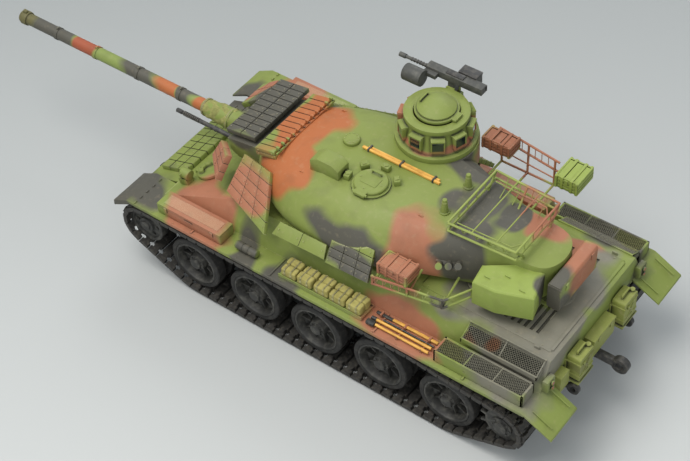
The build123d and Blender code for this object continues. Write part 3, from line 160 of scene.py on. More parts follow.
class Finish:
    """One painted, rubber or metal finish; node() takes a node's type, its settings and its sockets."""

    def __init__(self, name):
        self.material = bpy.data.materials.new(name)
        self.material.use_nodes = True
        self.tree = self.material.node_tree
        self.shader = self.tree.nodes["Principled BSDF"]
        self.place = self.node("ShaderNodeTexCoord", {}, {}, "Object")

    def node(self, kind, settings, sockets, output=0):
        made = self.tree.nodes.new(kind)
        for key, value in settings.items():
            setattr(made, key, value)
        for key, value in sockets.items():
            self.feed(made.inputs[key], value)
        return Strength(self, made.outputs[output])

    def feed(self, socket, value):
        if isinstance(value, Strength):
            self.tree.links.new(value.socket, socket)
        else:
            socket.default_value = value

    def noise(self, scale, detail=3.0, output="Fac"):
        sockets = {"Vector": self.place, "Scale": scale, "Detail": detail, "Roughness": 0.55}
        return self.node("ShaderNodeTexNoise", {}, sockets, output)

    def mix(self, factor, a, b, blend="MIX"):
        settings = {"data_type": "RGBA", "blend_type": blend}
        return self.node("ShaderNodeMix", settings, {0: factor, 6: a, 7: b}, 2)

    def vector(self, operation, a, b, output=0):
        return self.node("ShaderNodeVectorMath", {"operation": operation}, {0: a, 1: b}, output)

    def hollows(self, reach, inside=False):
        """1 in the open and less in corners; with inside, less along the outer edges."""
        settings = {"samples": 6, "inside": inside, "only_local": True}
        return self.node("ShaderNodeAmbientOcclusion", settings, {"Distance": reach * MM}, "AO")

    def bump(self, height, depth, strength=0.5):
        sockets = {"Height": height, "Distance": depth * MM, "Strength": strength}
        self.feed(self.shader.inputs["Normal"], self.node("ShaderNodeBump", {}, sockets))

    def set(self, **sockets):
        for key, value in sockets.items():
            self.feed(self.shader.inputs[key.replace("_", " ")], value)
        return self.material


GREEN = srgb(122, 134, 66)
TERRACOTTA = srgb(160, 104, 78)
DARK_GREY = srgb(80, 78, 70)
DUSTY_HIGHLIT_GREY = srgb(120, 117, 104)


def camouflage(name, ground, patches, grain=0.05, dust=0.25, edges=0.5):
    """Sprayed camouflage: each patch is a tone, a centre and three half-sizes in millimetres; soft edges."""
    finish = Finish(name)
    drift = finish.noise(26.0, 1.0, "Color")
    shift = finish.vector("MULTIPLY", finish.vector("SUBTRACT", drift, (0.5, 0.5, 0.5)), (0.05, 0.05, 0.05))
    place = finish.vector("ADD", finish.place, shift)
    colour = ground
    for tone, centre, sizes in patches:
        offset = finish.vector("SUBTRACT", place, tuple(spot(*centre)))
        scaled = finish.vector("MULTIPLY", offset, tuple(1.0 / (s * MM) for s in sizes))
        reach = finish.vector("LENGTH", scaled, (0.0, 0.0, 0.0), "Value")
        colour = finish.mix(((1.14 - reach) / 0.28).held(), colour, tone)
    faded = finish.noise(22.0, 4.0)
    colour = finish.mix((faded * 0.7 - 0.2).held(), colour, srgb(188, 182, 160), "SOFT_LIGHT")
    streaks = finish.noise(210.0, 5.0)
    colour = finish.mix(((streaks - 0.56) * 3.0).held() * dust, colour, srgb(176, 160, 128))
    # Pale along the outer edges: worn paint and a painted highlight.
    edge = 1.0 - finish.hollows(0.55, inside=True)
    rubbed_and_highlit = ((edge - 0.30) * 3.0).held() * ((0.85 - edge) * 6.0).held()
    colour = finish.mix(rubbed_and_highlit * edges * 0.6, colour, srgb(214, 206, 166))
    grime = finish.noise(70.0, 4.0)
    colour = finish.mix(((grime - 0.5) * 2.2).held() * 0.34, colour, srgb(70, 62, 44))
    # Darker in the hollows: dark washes and painted shade.
    wash_and_painted_shade = (1.0 - finish.hollows(3.2)) * (1.3 + 0.9 * finish.noise(120.0, 3.0))
    colour = finish.mix(((wash_and_painted_shade - 0.12) * 1.5).held(), colour, srgb(30, 27, 20))
    finish.bump(finish.noise(1500.0, 3.0), grain, 0.4)
    return finish.set(Base_Color=colour, Roughness=0.50 + 0.22 * finish.noise(60.0, 3.0))


# The pale grey patches on the engine deck and beside it are partly dust and partly a painted highlight on the
# lit top.
HULL_PATCHES = (
    (DARK_GREY, (192, 78, 66), (27, 34, 30)), (TERRACOTTA, (124, 84, 74), (30, 34, 34)),
    (DARK_GREY, (72, 90, 82), (15, 24, 22)), (DARK_GREY, (26, 92, 68), (22, 22, 12)),
    (TERRACOTTA, (-76, 82, 76), (40, 26, 16)), (DUSTY_HIGHLIT_GREY, (-168, 66, 88), (36, 48, 26)),
    (DUSTY_HIGHLIT_GREY, (-128, 22, 98), (44, 40, 14)), (TERRACOTTA, (-156, -36, 98), (22, 20, 12)),
    (DUSTY_HIGHLIT_GREY, (-176, 0, 98), (20, 52, 14)), (DARK_GREY, (184, -52, 76), (32, 26, 26)),
    (TERRACOTTA, (-60, -84, 82), (46, 26, 24)), (DARK_GREY, (60, -88, 80), (34, 26, 26)),
    (TERRACOTTA, (148, -84, 76), (26, 28, 20)), (DARK_GREY, (-168, -80, 86), (30, 26, 24)),
    (TERRACOTTA, (90, 20, 98), (24, 30, 20)), (DARK_GREY, (40, -30, 98), (34, 34, 20)))
hull_paint = camouflage("hull_camouflage", GREEN, HULL_PATCHES)


def shaded_black(name, tone, pale, grain=0.12, rough=0.62, scale=260.0):
    """A near-black finish with grey dust in it, as on tracks, tyres and the hull's sides (there as painted
    shade under the guards); paler along the edges from worn dust and a painted highlight, darker in the
    hollows from washes and painted shade.
    """
    finish = Finish(name)
    dusty = ((finish.noise(scale, 5.0) - 0.46) * 2.4).held()
    colour = finish.mix(dusty * 0.55, tone, pale)
    # Pale along the outer edges: dust worn in and a painted highlight.
    edge = 1.0 - finish.hollows(0.7, inside=True)
    colour = finish.mix(((edge - 0.45) * 1.5).held() * 0.65, colour, pale)
    # Darker in the hollows: dark washes and painted shade.
    wash_and_painted_shade = (1.0 - finish.hollows(3.0)) * 0.9
    colour = finish.mix((wash_and_painted_shade - 0.1).held(), colour, srgb(12, 11, 10))
    finish.bump(finish.noise(1300.0, 3.0), grain, 0.5)
    return finish.set(Base_Color=colour, Roughness=rough + 0.15 * finish.noise(90.0, 3.0))


def only(piece):
    """Make one piece the active, selected object."""
    bpy.ops.object.select_all(action="DESELECT")
    piece.select_set(True)
    bpy.context.view_layer.objects.active = piece


def eased(piece, width, segments=2):
    """Round every sharp edge by a width in millimetres and shade the piece smooth up to its edges."""
    only(piece)
    bevel = piece.modifiers.new("eased", "BEVEL")
    bevel.width = width * MM
    bevel.segments = segments
    bevel.limit_method = "ANGLE"
    bevel.angle_limit = math.radians(32.0)
    bevel.use_clamp_overlap = True
    bpy.ops.object.modifier_apply(modifier="eased")
    bpy.ops.object.shade_smooth_by_angle(angle=math.radians(35.0))
    return piece


def fitted(piece, body, material, slot, *replaced):
    """Give a finished piece its material, its body and the CAD nodes it stands for; the record's slot is not
    used.
    """
    piece.data.materials.clear()
    piece.data.materials.append(material)
    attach(piece, body)
    if replaced:
        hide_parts(*replaced)
    return piece


def moulded(node, name, body, material, slot, width=0.35, flat=2.0):
    """A CAD node's shape as moulded plastic: merged, its flat faces made whole and its edges eased."""
    piece = bpy.data.objects.new(name, nodes[node].data.copy())
    bpy.context.scene.collection.objects.link(piece)
    only(piece)
    bpy.ops.object.mode_set(mode="EDIT")
    bpy.ops.mesh.select_all(action="SELECT")
    bpy.ops.mesh.remove_doubles(threshold=0.00001)
    bpy.ops.mesh.dissolve_limited(angle_limit=math.radians(flat))
    bpy.ops.object.mode_set(mode="OBJECT")
    eased(piece, width)
    return fitted(piece, body, material, slot, node)


# Painted shade: the tub and the swing arms are near-black for the dark under the track guards.
belly_painted_shade = shaded_black("shaded_belly", srgb(52, 50, 45), srgb(88, 84, 72))
moulded("hull_tub", "lower_hull", "hull", belly_painted_shade, "camouflage_plastic", 0.3)


# The tracks: separate moulded links joined by pins, one row of links for each side. They are near-black
# plastic, with pale dust worn into the pads, paler edges that are partly a painted highlight, and painted
# shade in the hollows.
track_paint = shaded_black("track_links", srgb(46, 44, 41), srgb(104, 98, 86), 0.3, 0.52, 420.0)


def painted(node, material):
    """Give a CAD node, kept as it is, its finish."""
    nodes[node].data.materials.clear()
    nodes[node].data.materials.append(material)


for side in ("left", "right"):
    painted("track_" + side, track_paint)


# The road wheels: twin dished discs with a pressed rim, ten ribs and a bolted hub cap, each with a
# rubber tyre; they turn on the ends of the swing arms.
WHEEL_X = (124.5, 62.5, 0.5, -61.5, -123.5)
WHEEL_Z = 30.65
WHEEL_MID = 79.1
WHEEL_R = 25.0
WHEEL_RIBS = 10
TYRE_STEP = 15.65           # from the outer tyre to the inner one


def turned(name, profile, middle, axis, steps=40):
    """A piece spun about an axis: the profile holds (place along the axis, radius) pairs in millimetres."""
    along = Vector(axis)
    out = Vector((0.0, 0.0, 1.0)) if abs(along.z) < 0.5 else Vector((1.0, 0.0, 0.0))
    points = [middle + along * (a * MM) + out * (r * MM) for a, r in profile]
    bpy.ops.object.select_all(action="DESELECT")
    bpy.ops.mesh.primitive_plane_add(size=0.001, location=points[0])
    piece = bpy.context.object
    piece.name = name
    bpy.ops.object.transform_apply(location=True, rotation=True, scale=True)
    bpy.ops.object.mode_set(mode="EDIT")
    bpy.ops.mesh.select_all(action="SELECT")
    bpy.ops.mesh.merge(type="CENTER")
    for before, after in zip(points, points[1:]):
        bpy.ops.mesh.extrude_region_move(TRANSFORM_OT_translate={"value": after - before})
    bpy.ops.mesh.select_all(action="SELECT")
    bpy.ops.mesh.spin(steps=steps, angle=2.0 * math.pi, center=middle, axis=along)
    bpy.ops.mesh.select_all(action="SELECT")
    bpy.ops.mesh.remove_doubles(threshold=0.000005)
    bpy.ops.mesh.normals_make_consistent(inside=False)
    bpy.ops.object.mode_set(mode="OBJECT")
    bpy.ops.object.shade_smooth_by_angle(angle=math.radians(35.0))
    return piece


def block(name, x0, x1, y0, y1, z0, z1):
    """A box between two corners in hull millimetres."""
    low, high = spot(x0, y0, z0), spot(x1, y1, z1)
    bpy.ops.object.select_all(action="DESELECT")
    bpy.ops.mesh.primitive_cube_add(size=1.0, location=(low + high) / 2, scale=high - low)
    piece = bpy.context.object
    piece.name = name
    bpy.ops.object.transform_apply(location=True, rotation=True, scale=True)
    return piece


def bar(name, start, end, radius, sides=12):
    """A round bar between two points in hull millimetres."""
    low, high = spot(*start), spot(*end)
    run = high - low
    bpy.ops.object.select_all(action="DESELECT")
    bpy.ops.mesh.primitive_cylinder_add(vertices=sides, radius=radius * MM, depth=run.length,
                                        location=(low + high) / 2,
                                        rotation=run.to_track_quat("Z", "Y").to_euler())
    piece = bpy.context.object
    piece.name = name
    bpy.ops.object.transform_apply(location=True, rotation=True, scale=True)
    bpy.ops.object.shade_smooth_by_angle(angle=math.radians(35.0))
    return piece


def bolt_ring(name, x, y, reach, count, low, high, size, shift=0.0):
    """Six-sided bolt heads standing in a circle; shift turns the circle by a part of one step."""
    bolts = []
    for k in range(count):
        turn = 2.0 * math.pi * (k + shift) / count
        place = (x + reach * math.cos(turn), y + reach * math.sin(turn))
        bolts.append(bar(name, (*place, low), (*place, high), size, 6))
    return bolts


def swung(piece, middle, angle, axis, landing=None):
    """Turn a piece about a point, which then lands on another point if one is given."""
    piece.data.transform(Matrix.Translation(-middle))
    piece.data.transform(Matrix.Rotation(angle, 4, axis))
    piece.data.transform(Matrix.Translation(landing or middle))
    return piece


def joined(name, pieces):
    """Several pieces as one object with one mesh."""
    bpy.ops.object.select_all(action="DESELECT")
    for piece in pieces:
        piece.select_set(True)
    bpy.context.view_layer.objects.active = pieces[0]
    if len(pieces) > 1:
        bpy.ops.object.join()
    whole = bpy.context.view_layer.objects.active
    whole.name = name
    return whole


def copied(piece, name, change):
    """A copy with its own mesh, moved by a matrix; a mirrored copy has its normals turned outwards again."""
    twin = bpy.data.objects.new(name, piece.data.copy())
    bpy.context.scene.collection.objects.link(twin)
    twin.data.transform(change)
    if change.determinant() < 0.0:
        twin.data.flip_normals()
    return twin


def shifted(piece, name, x, y, z):
    """A copy moved by millimetres."""
    return copied(piece, name, Matrix.Translation(Vector((x, y, z)) * MM))


MIRROR = Matrix.Diagonal((1.0, -1.0, 1.0, 1.0))
Y = (0.0, 1.0, 0.0)
X = (1.0, 0.0, 0.0)
BACKWARDS = (-1.0, 0.0, 0.0)
Z = (0.0, 0.0, 1.0)

rubber = shaded_black("tyre_rubber", srgb(38, 37, 35), srgb(84, 80, 72), 0.2, 0.68, 300.0)
wheel_paint = shaded_black("wheel_plastic", srgb(50, 49, 46), srgb(122, 119, 108), 0.12, 0.5, 200.0)
first = spot(0.0, WHEEL_MID, WHEEL_Z)
tyre_out = turned("tyre_pattern", [(2.95, 20.9), (2.95, WHEEL_R - 0.6), (3.6, WHEEL_R), (11.9, WHEEL_R),
                                   (12.7, WHEEL_R - 0.8), (12.7, 20.9), (2.95, 20.9)], first, Y, 56)
tyre_in = shifted(tyre_out, "tyre_inner_pattern", 0.0, -TYRE_STEP, 0.0)
tyre_pattern = joined("tyre_pattern", [tyre_out, tyre_in])
rim_outer = turned("rim_pattern", [(0.0, 12.0), (3.0, 12.0), (3.0, 20.8), (12.2, 20.8), (12.9, 20.3),
                                   (12.9, 19.0), (11.6, 18.3), (5.2, 17.6), (3.6, 15.4), (4.2, 9.0),
                                   (7.2, 7.4), (11.0, 6.9), (11.6, 5.2), (13.4, 4.9), (13.9, 4.0),
                                   (13.9, 0.0)], first, Y, 48)
rim_inner = turned("rim_inner_pattern", [(0.0, 12.0), (-3.0, 12.0), (-3.0, 20.8), (-12.6, 20.8),
                                         (-12.6, 18.4), (-5.0, 17.8), (-4.0, 9.0), (-12.0, 7.0),
                                         (-12.0, 3.05), (0.0, 3.05)], first, Y, 40)
details = [rim_outer, rim_inner]
for k in range(WHEEL_RIBS):
    rib = block("rib", 9.0, 18.2, WHEEL_MID + 3.9, WHEEL_MID + 7.4, WHEEL_Z - 0.55, WHEEL_Z + 0.55)
    details.append(swung(rib, first, 2.0 * math.pi * k / WHEEL_RIBS, "Y"))
for k in range(8):
    turn = math.pi * k / 4.0
    bolt = bar("bolt", (5.9 * math.cos(turn), WHEEL_MID + 10.6, WHEEL_Z + 5.9 * math.sin(turn)),
               (5.9 * math.cos(turn), WHEEL_MID + 12.2, WHEEL_Z + 5.9 * math.sin(turn)), 0.62, 6)
    details.append(bolt)
rim_pattern = joined("rim_pattern", details)
for side in ("left", "right"):
    for i, x in enumerate(WHEEL_X):
        place = Matrix.Translation(Vector((x * MM, 0.0, 0.0)))
        place = place if side == "left" else MIRROR @ place
        body = "road_wheel_%s_%d" % (side, i + 1)
        tyre = copied(tyre_pattern, "tyres_%s_%d" % (side, i + 1), place)
        fitted(tyre, body, rubber, "tyre_rubber")
        disc = copied(rim_pattern, "wheel_disc_%s_%d" % (side, i + 1), place)
        fitted(disc, body, wheel_paint, "wheel_plastic", body)
bpy.data.objects.remove(tyre_pattern)
bpy.data.objects.remove(rim_pattern)


# Drive sprockets behind, idlers in front, return rollers above and the swing arms that carry the road
# wheels: all moulded in near-black plastic and turning on short shafts.
for side in ("left", "right"):
    moulded("sprocket_" + side, "drive_wheel_" + side, "sprocket_" + side, wheel_paint, "wheel_plastic", 0.2)
    moulded("idler_" + side, "front_idler_" + side, "idler_" + side, wheel_paint, "wheel_plastic", 0.3)
    for i in (1, 2):
        part = "return_roller_%s_%d" % (side, i)
        moulded(part, "roller_%s_%d" % (side, i), part, wheel_paint, "wheel_plastic", 0.3)
    # The swing arms take the belly's near-black, which is painted shade under the guards.
    for i in range(1, 6):
        part = "swing_arm_%s_%d" % (side, i)
        moulded(part, "arm_%s_%d" % (side, i), part, belly_painted_shade, "dark_steel", 0.4)


# The works inside: steel gearboxes, a wrapped battery, circuit boards, a servo, a nylon pinion and the
# switch. They are fixed in the tub and the turret and unseen until a hatch is opened.
def works_finish(name, tone, metal, rough):
    """A plain finish with slight marks for the parts inside."""
    finish = Finish(name)
    marks = finish.noise(160.0, 4.0)
    colour = finish.mix((marks * 0.5).held(), tone, tuple(c * 0.55 for c in tone[:3]) + (1.0,))
    return finish.set(Base_Color=colour, Roughness=rough + 0.2 * marks, Metallic=metal)


motor_steel = works_finish("motor_steel", srgb(150, 150, 148), 0.9, 0.3)
battery_wrap = works_finish("battery_wrap", srgb(40, 74, 132), 0.0, 0.35)
board_green = works_finish("board_green", srgb(28, 88, 52), 0.0, 0.4)
gear_nylon = works_finish("gear_nylon", srgb(222, 216, 200), 0.0, 0.45)
knob_black = works_finish("knob_black", srgb(26, 26, 28), 0.0, 0.45)
for node, material in (("drive_gearboxes", motor_steel), ("battery", battery_wrap),
                       ("electronics", board_green), ("elevation_servo", knob_black),
                       ("traverse_pinion", gear_nylon), ("power_switch", knob_black)):
    painted(node, material)


# The upper hull: sponsons, roof and glacis moulded in one piece of plastic and painted, with lifting eyes
# and the heads of the bolts that hold it down.
moulded("hull_deck", "upper_hull", "hull", hull_paint, "camouflage_plastic", 0.5)
eyes = []
for x, y in ((-178, 56), (-178, -56), (86, 50), (86, -50)):
    eyes.append(block("eye", x - 2.2, x + 2.2, y - 0.7, y + 0.7, 96.5, 99.6))
for x in (-70, -60, 78, 86):
    for y in (-54, 54):
        eyes.append(bar("hull_bolt", (x, y, 96.6), (x, y, 97.5), 0.8, 6))
fitted(eased(joined("lifting_eyes", eyes), 0.25), "hull", hull_paint, "camouflage_plastic")


# The track guards: thin plates with a rolled edge, hinged mudguards in front and flaps behind, each
# with stiffening ribs, hinge knuckles and small bolts.
for side, sign in (("left", 1), ("right", -1)):
    moulded("fender_" + side, "track_guard_" + side, "hull", hull_paint, "camouflage_plastic", 0.3)
    trim = []
    for y in (62.0, 70.0, 78.0, 86.0, 93.0):
        trim.append(bar("knuckle", (180.5, sign * y, 73.4), (180.5, sign * (y + 3.2), 73.4), 0.75, 8))
    for k in range(16):
        trim.append(bar("fender_bolt", (162.0 - k * 22.0, sign * 95.3, 72.8),
                        (162.0 - k * 22.0, sign * 95.3, 73.6), 0.55, 6))
    for y in (66.0, 90.0):
        rib = block("flap_rib", -214.5, -196.0, sign * y - 0.5, sign * y + 0.5, 62.6, 64.0)
        flap_slope = math.radians(-26.5)
        trim.append(swung(rib, spot(-205.0, 0.0, 63.3), flap_slope, "Y", spot(-205.0, 0.0, 68.6)))
    guard_trim = joined("guard_trim_" + side, trim)
    fitted(eased(guard_trim, 0.12, 1), "hull", hull_paint, "camouflage_plastic")


# The air grilles over the engine: expanded-metal mesh held in thin folded frames, a box on each guard and a
# sloping panel beside the deck, with near-black blocks below as painted shade for the dark space under the
# mesh.
def mesh_panel(name, corners, cell, wire=0.32):
    """Diamond mesh between four corners (rear low, front low, front high, rear high) in hull millimetres."""
    a, b, c, d = [spot(*corner) for corner in corners]
    wide = max(2, round((b - a).length / (cell * MM)))
    tall = max(2, round((d - a).length / (cell * MM)))
    bpy.ops.object.select_all(action="DESELECT")
    bpy.ops.mesh.primitive_grid_add(x_subdivisions=wide, y_subdivisions=tall, size=1.0)
    piece = bpy.context.object
    piece.name = name
    for vertex in piece.data.vertices:
        u, v = vertex.co.x + 0.5, vertex.co.y + 0.5
        vertex.co = (a * (1 - u) + b * u) * (1 - v) + (d * (1 - u) + c * u) * v
    bpy.ops.object.mode_set(mode="EDIT")
    bpy.ops.mesh.select_all(action="SELECT")
    bpy.ops.mesh.poke()
    bpy.ops.mesh.select_all(action="DESELECT")
    bpy.ops.object.mode_set(mode="OBJECT")
    grid_corners = (wide + 1) * (tall + 1)
    for edge in piece.data.edges:
        edge.select = all(i < grid_corners for i in edge.vertices)
    bpy.ops.object.mode_set(mode="EDIT")
    bpy.ops.mesh.select_mode(type="EDGE")
    bpy.ops.mesh.dissolve_edges(use_verts=False)
    bpy.ops.mesh.select_mode(type="VERT")
    bpy.ops.object.mode_set(mode="OBJECT")
    lattice = piece.modifiers.new("lattice", "WIREFRAME")
    lattice.thickness = wire * MM
    lattice.use_boundary = True
    lattice.use_even_offset = False
    bpy.ops.object.modifier_apply(modifier="lattice")
    return piece


def flat_mesh(name, x, y, z, reach, cell, wire):
    """A level square of mesh about a point, reaching the same distance each way."""
    corners = [(x - reach, y - reach, z), (x + reach, y - reach, z), (x + reach, y + reach, z),
               (x - reach, y + reach, z)]
    return mesh_panel(name, corners, cell, wire)


def cut_round(panel, middle, radius, sides):
    """Trim a mesh panel to a many-sided disc about a point of the hull."""
    only(panel)
    bpy.ops.object.mode_set(mode="EDIT")
    for k in range(sides):
        turn = 2.0 * math.pi * k / sides
        out = Vector((math.cos(turn), math.sin(turn), 0.0))
        bpy.ops.mesh.select_all(action="SELECT")
        bpy.ops.mesh.bisect(plane_co=middle + out * (radius * MM), plane_no=out, clear_outer=True)
    bpy.ops.object.mode_set(mode="OBJECT")


void_painted_shade = works_finish("void_painted_shade", srgb(34, 33, 29), 0.0, 0.9)
MESH_PATCHES = (
    (srgb(150, 150, 98), (-118, 84, 84), (16, 14, 14)), (srgb(176, 124, 92), (-134, 70, 94), (12, 12, 12)),
    (srgb(150, 152, 96), (-182, -84, 86), (22, 18, 18)))
mesh_paint = camouflage("mesh_camouflage", srgb(150, 147, 130), MESH_PATCHES, 0.05, 0.3, 0.3)
for side, sign in (("left", 1), ("right", -1)):
    flat = mesh_panel("flat_mesh", [(-187.5, sign * 77.6, 84.7), (-113.5, sign * 77.6, 84.7),
                                    (-113.5, sign * 91.4, 84.7), (-187.5, sign * 91.4, 84.7)], 2.1, 0.55)
    lean = mesh_panel("leaning_mesh", [(-189.0, sign * 74.2, 90.8), (-125.0, sign * 74.2, 90.8),
                                       (-125.0, sign * 62.6, 97.4), (-189.0, sign * 62.6, 97.4)], 2.1, 0.55)
    meshes = joined("grille_mesh_" + side, [flat, lean])
    fitted(meshes, "hull", mesh_paint, "camouflage_plastic")
    frames = [block("frame", -189.0, -112.0, sign * 76.0, sign * 77.8, 73.8, 85.0),
              block("frame", -189.0, -112.0, sign * 91.2, sign * 92.7, 73.8, 85.0),
              block("frame", -189.0, -187.2, sign * 76.0, sign * 92.7, 73.8, 85.0),
              block("frame", -113.8, -112.0, sign * 76.0, sign * 92.7, 73.8, 85.0),
              block("frame", -190.0, -188.6, sign * 62.0, sign * 75.0, 86.2, 90.6),
              block("frame", -190.0, -124.0, sign * 73.6, sign * 75.0, 86.0, 90.7),
              block("frame", -125.4, -124.0, sign * 62.0, sign * 75.0, 86.2, 90.6),
              block("frame", -190.0, -124.0, sign * 61.4, sign * 62.8, 96.7, 98.0)]
    for x in (-189.4, -157.2, -125.0):
        frames.append(bar("rib", (x, sign * 74.6, 90.4), (x, sign * 62.0, 97.5), 0.55, 8))
    for x in (-163.0, -138.0):
        frames.append(block("rib", x - 0.5, x + 0.5, sign * 77.0, sign * 92.0, 83.2, 84.9))
    for x in (-186.0, -162.0, -139.0, -115.0):
        frames.append(bar("frame_bolt", (x, sign * 92.2, 79.0), (x, sign * 93.1, 79.0), 0.6, 6))
    frame_piece = joined("grille_frame_" + side, frames)
    fitted(eased(frame_piece, 0.2, 1), "hull", hull_paint, "camouflage_plastic", "side_grilles")
    # Painted shade: near-black blocks stand in the dark space under the mesh.
    dark = [block("void", -187.6, -113.4, sign * 77.2, sign * 91.8, 76.0, 81.6),
            block("void", -188.4, -125.6, sign * 67.0, sign * 73.4, 84.5, 89.2),
            block("void", -188.4, -125.6, sign * 62.9, sign * 67.0, 88.0, 94.4)]
    for piece in dark:
        eased(piece, 0.4, 1)
    fitted(joined("grille_void_" + side, dark), "hull", void_painted_shade, "dark_steel")


# The engine deck: a flat plastic cover bolted down along both sides, with two doors on strap hinges,
# louvres, two round vents and a round screen at the back, all kept low so that the gun passes over.
DECK_TOP = 97.4
VENT_X, VENT_Y = -112.0, 24.0
SCREEN_X, SCREEN_Y, SCREEN_Z = -160.0, 2.0, 97.9
moulded("engine_deck", "engine_cover", "hull", hull_paint, "camouflage_plastic", 0.15, 1.0)
deck = []
for sign in (1, -1):
    vent_y = sign * VENT_Y
    vent = flat_mesh("vent", VENT_X, vent_y, DECK_TOP, 10.0, 1.6, 0.3)
    cut_round(vent, spot(VENT_X, vent_y, DECK_TOP), 10.6, 12)
    deck.append(vent)
    deck += bolt_ring("vent_bolt", VENT_X, vent_y, 11.8, 12, DECK_TOP + 0.3, DECK_TOP + 0.85, 0.5, 0.5)
    for x in (-180.0, -158.0, -136.0, -96.0, -80.0):
        deck.append(bar("cover_bolt", (x, sign * 51.8, DECK_TOP), (x, sign * 51.8, DECK_TOP + 0.8), 0.7, 6))
    for x in (-172.0, -146.0):
        for y in (20.0, 28.0):
            deck.append(bar("handle", (x, sign * y, DECK_TOP - 0.2), (x, sign * y, DECK_TOP + 0.6), 0.3, 8))
        deck.append(bar("handle", (x, sign * 19.6, DECK_TOP + 0.55), (x, sign * 28.4, DECK_TOP + 0.55),
                        0.3, 8))
    for x in (-130.0, -98.0):
        deck.append(bar("hinge", (x, sign * 3.6, DECK_TOP + 0.3), (x + 10.0, sign * 3.6, DECK_TOP + 0.3),
                        0.6, 10))
fitted(joined("deck_fittings", deck), "hull", hull_paint, "camouflage_plastic")
screen = flat_mesh("round_screen", SCREEN_X, SCREEN_Y, SCREEN_Z, 14.0, 1.7, 0.34)
cut_round(screen, spot(SCREEN_X, SCREEN_Y, SCREEN_Z), 13.8, 20)
screen_ring = turned("screen_ring", [(-0.6, 13.4), (-0.6, 16.4), (-0.1, 16.4), (0.2, 15.8), (0.2, 13.4),
                                     (-0.6, 13.4)], spot(SCREEN_X, SCREEN_Y, SCREEN_Z), Z, 48)
screen_bolts = bolt_ring("screen_bolt", SCREEN_X, SCREEN_Y, 15.0, 12, DECK_TOP, DECK_TOP + 0.9, 0.55)
whole_screen = joined("round_vent_screen", [screen, screen_ring] + screen_bolts)
fitted(whole_screen, "hull", hull_paint, "camouflage_plastic")
# Painted shade: a near-black block stands in the dark space under the deck's vents and screen.
underdeck = block("engine_void", -183.0, -75.0, -49.0, 49.0, 90.0, 94.6)
fitted(eased(underdeck, 0.5, 1), "hull", void_painted_shade, "dark_steel")
edge_strip = eased(block("rear_edge_strip", -189.5, -186.8, -52.0, 52.0, 97.0, 98.1), 0.4)
fitted(edge_strip, "hull", hull_paint, "camouflage_plastic")


# The bricks on the glacis: small cast boxes set in two banks, painted with the hull, each held by two
# hexagon screws in its outer face.
def screw_heads(name, heads, radius, body, material):
    """Six-sided heads from one pattern, each with its own place, as one piece."""
    bpy.ops.object.select_all(action="DESELECT")
    bpy.ops.mesh.primitive_cylinder_add(vertices=6, radius=radius * MM, depth=1.0)
    pattern = bpy.context.object
    pieces = []
    for low, high in heads:
        run = high - low
        turn = run.to_track_quat("Z", "Y").to_matrix().to_4x4()
        size = Matrix.Diagonal((1.0, 1.0, run.length, 1.0))
        pieces.append(copied(pattern, "head", Matrix.Translation((low + high) / 2) @ turn @ size))
    bpy.data.objects.remove(pattern)
    return fitted(joined(name, pieces), body, material, "camouflage_plastic")


def outer_faces(piece, least, towards):
    """Centres and normals of large faces that look towards a direction: (face centre, normal, long edge)."""
    found = []
    for face in piece.data.polygons:
        if face.area < least * MM * MM or face.normal.dot(towards(face.center)) < 0.55:
            continue
        corners = [piece.data.vertices[i].co for i in face.vertices]
        edges = [b - a for a, b in zip(corners, corners[1:] + corners[:1])]
        found.append((face.center.copy(), face.normal.copy(), max(edges, key=lambda e: e.length)))
    return found


def screw_pair(centre, normal, edge, share, tall):
    """Where two screw heads start and end, spread along a face's longest edge."""
    pair = []
    for sign in (1.0, -1.0):
        base = centre + edge * (share * sign)
        pair.append((base - normal * (0.1 * MM), base + normal * (tall * MM)))
    return pair


glacis_out = Vector((0.32, 0.0, 0.95)).normalized()
glacis_bank = moulded("glacis_armour", "glacis_bricks", "hull", hull_paint, "camouflage_plastic", 0.3)
heads = []
for centre, normal, edge in outer_faces(glacis_bank, 35.0, lambda place: glacis_out):
    heads += screw_pair(centre, normal, edge, 0.33, 0.5)
screw_heads("glacis_screws", heads, 0.6, "hull", hull_paint)


# Headlamps on the glacis in round painted shells, with glass fronts behind bar guards, and pairs of small
# red tail lamps on the rear plate.
moulded("lamps", "lamp_shells", "hull", hull_paint, "camouflage_plastic", 0.3)
lens_glass = Finish("lens_glass")
lens_glass.set(Base_Color=(0.72, 0.76, 0.78, 1.0), Roughness=0.04 + 0.05 * lens_glass.noise(300.0),
               Coat_Weight=1.0)
red_lens = Finish("red_lens")
red_lens.set(Base_Color=srgb(150, 34, 22), Roughness=0.12 + 0.1 * red_lens.noise(300.0), Coat_Weight=0.8)
GLACIS_NOSE_X, GLACIS_NOSE_Z = 200.0, 62.0
GLACIS_SLOPE = 35.0 / 104.0
LAMP_Y = 54.5
lamp_z = GLACIS_NOSE_Z + (GLACIS_NOSE_X - 158.0) * GLACIS_SLOPE + 9.6
lamp_clear, lamp_red, guards = [], [], []
for sign in (1, -1):
    y = sign * LAMP_Y
    lamp_clear.append(turned("headlamp", [(0.3, 0.0), (0.25, 2.0), (0.0, 3.4), (-0.4, 3.9)],
                             spot(163.0, y, lamp_z), X, 24))
    for lift in (-2.45, 0.0, 2.45):
        guards.append(bar("guard", (160.0, y - 5.6, lamp_z + lift), (160.0, y + 5.6, lamp_z + lift), 0.32, 6))
    for side_y in (y - 5.6, y + 5.6):
        guards.append(bar("guard", (160.0, side_y, lamp_z - 8.0), (160.0, side_y, lamp_z + 3.0), 0.4, 8))
    for k in (0, 1):
        lamp_red.append(turned("tail_lens", [(0.35, 0.0), (0.25, 0.9), (0.0, 1.5), (-0.3, 1.6)],
                               spot(-199.6, sign * 67.0, 77.8 + 5.2 * k), BACKWARDS, 16))
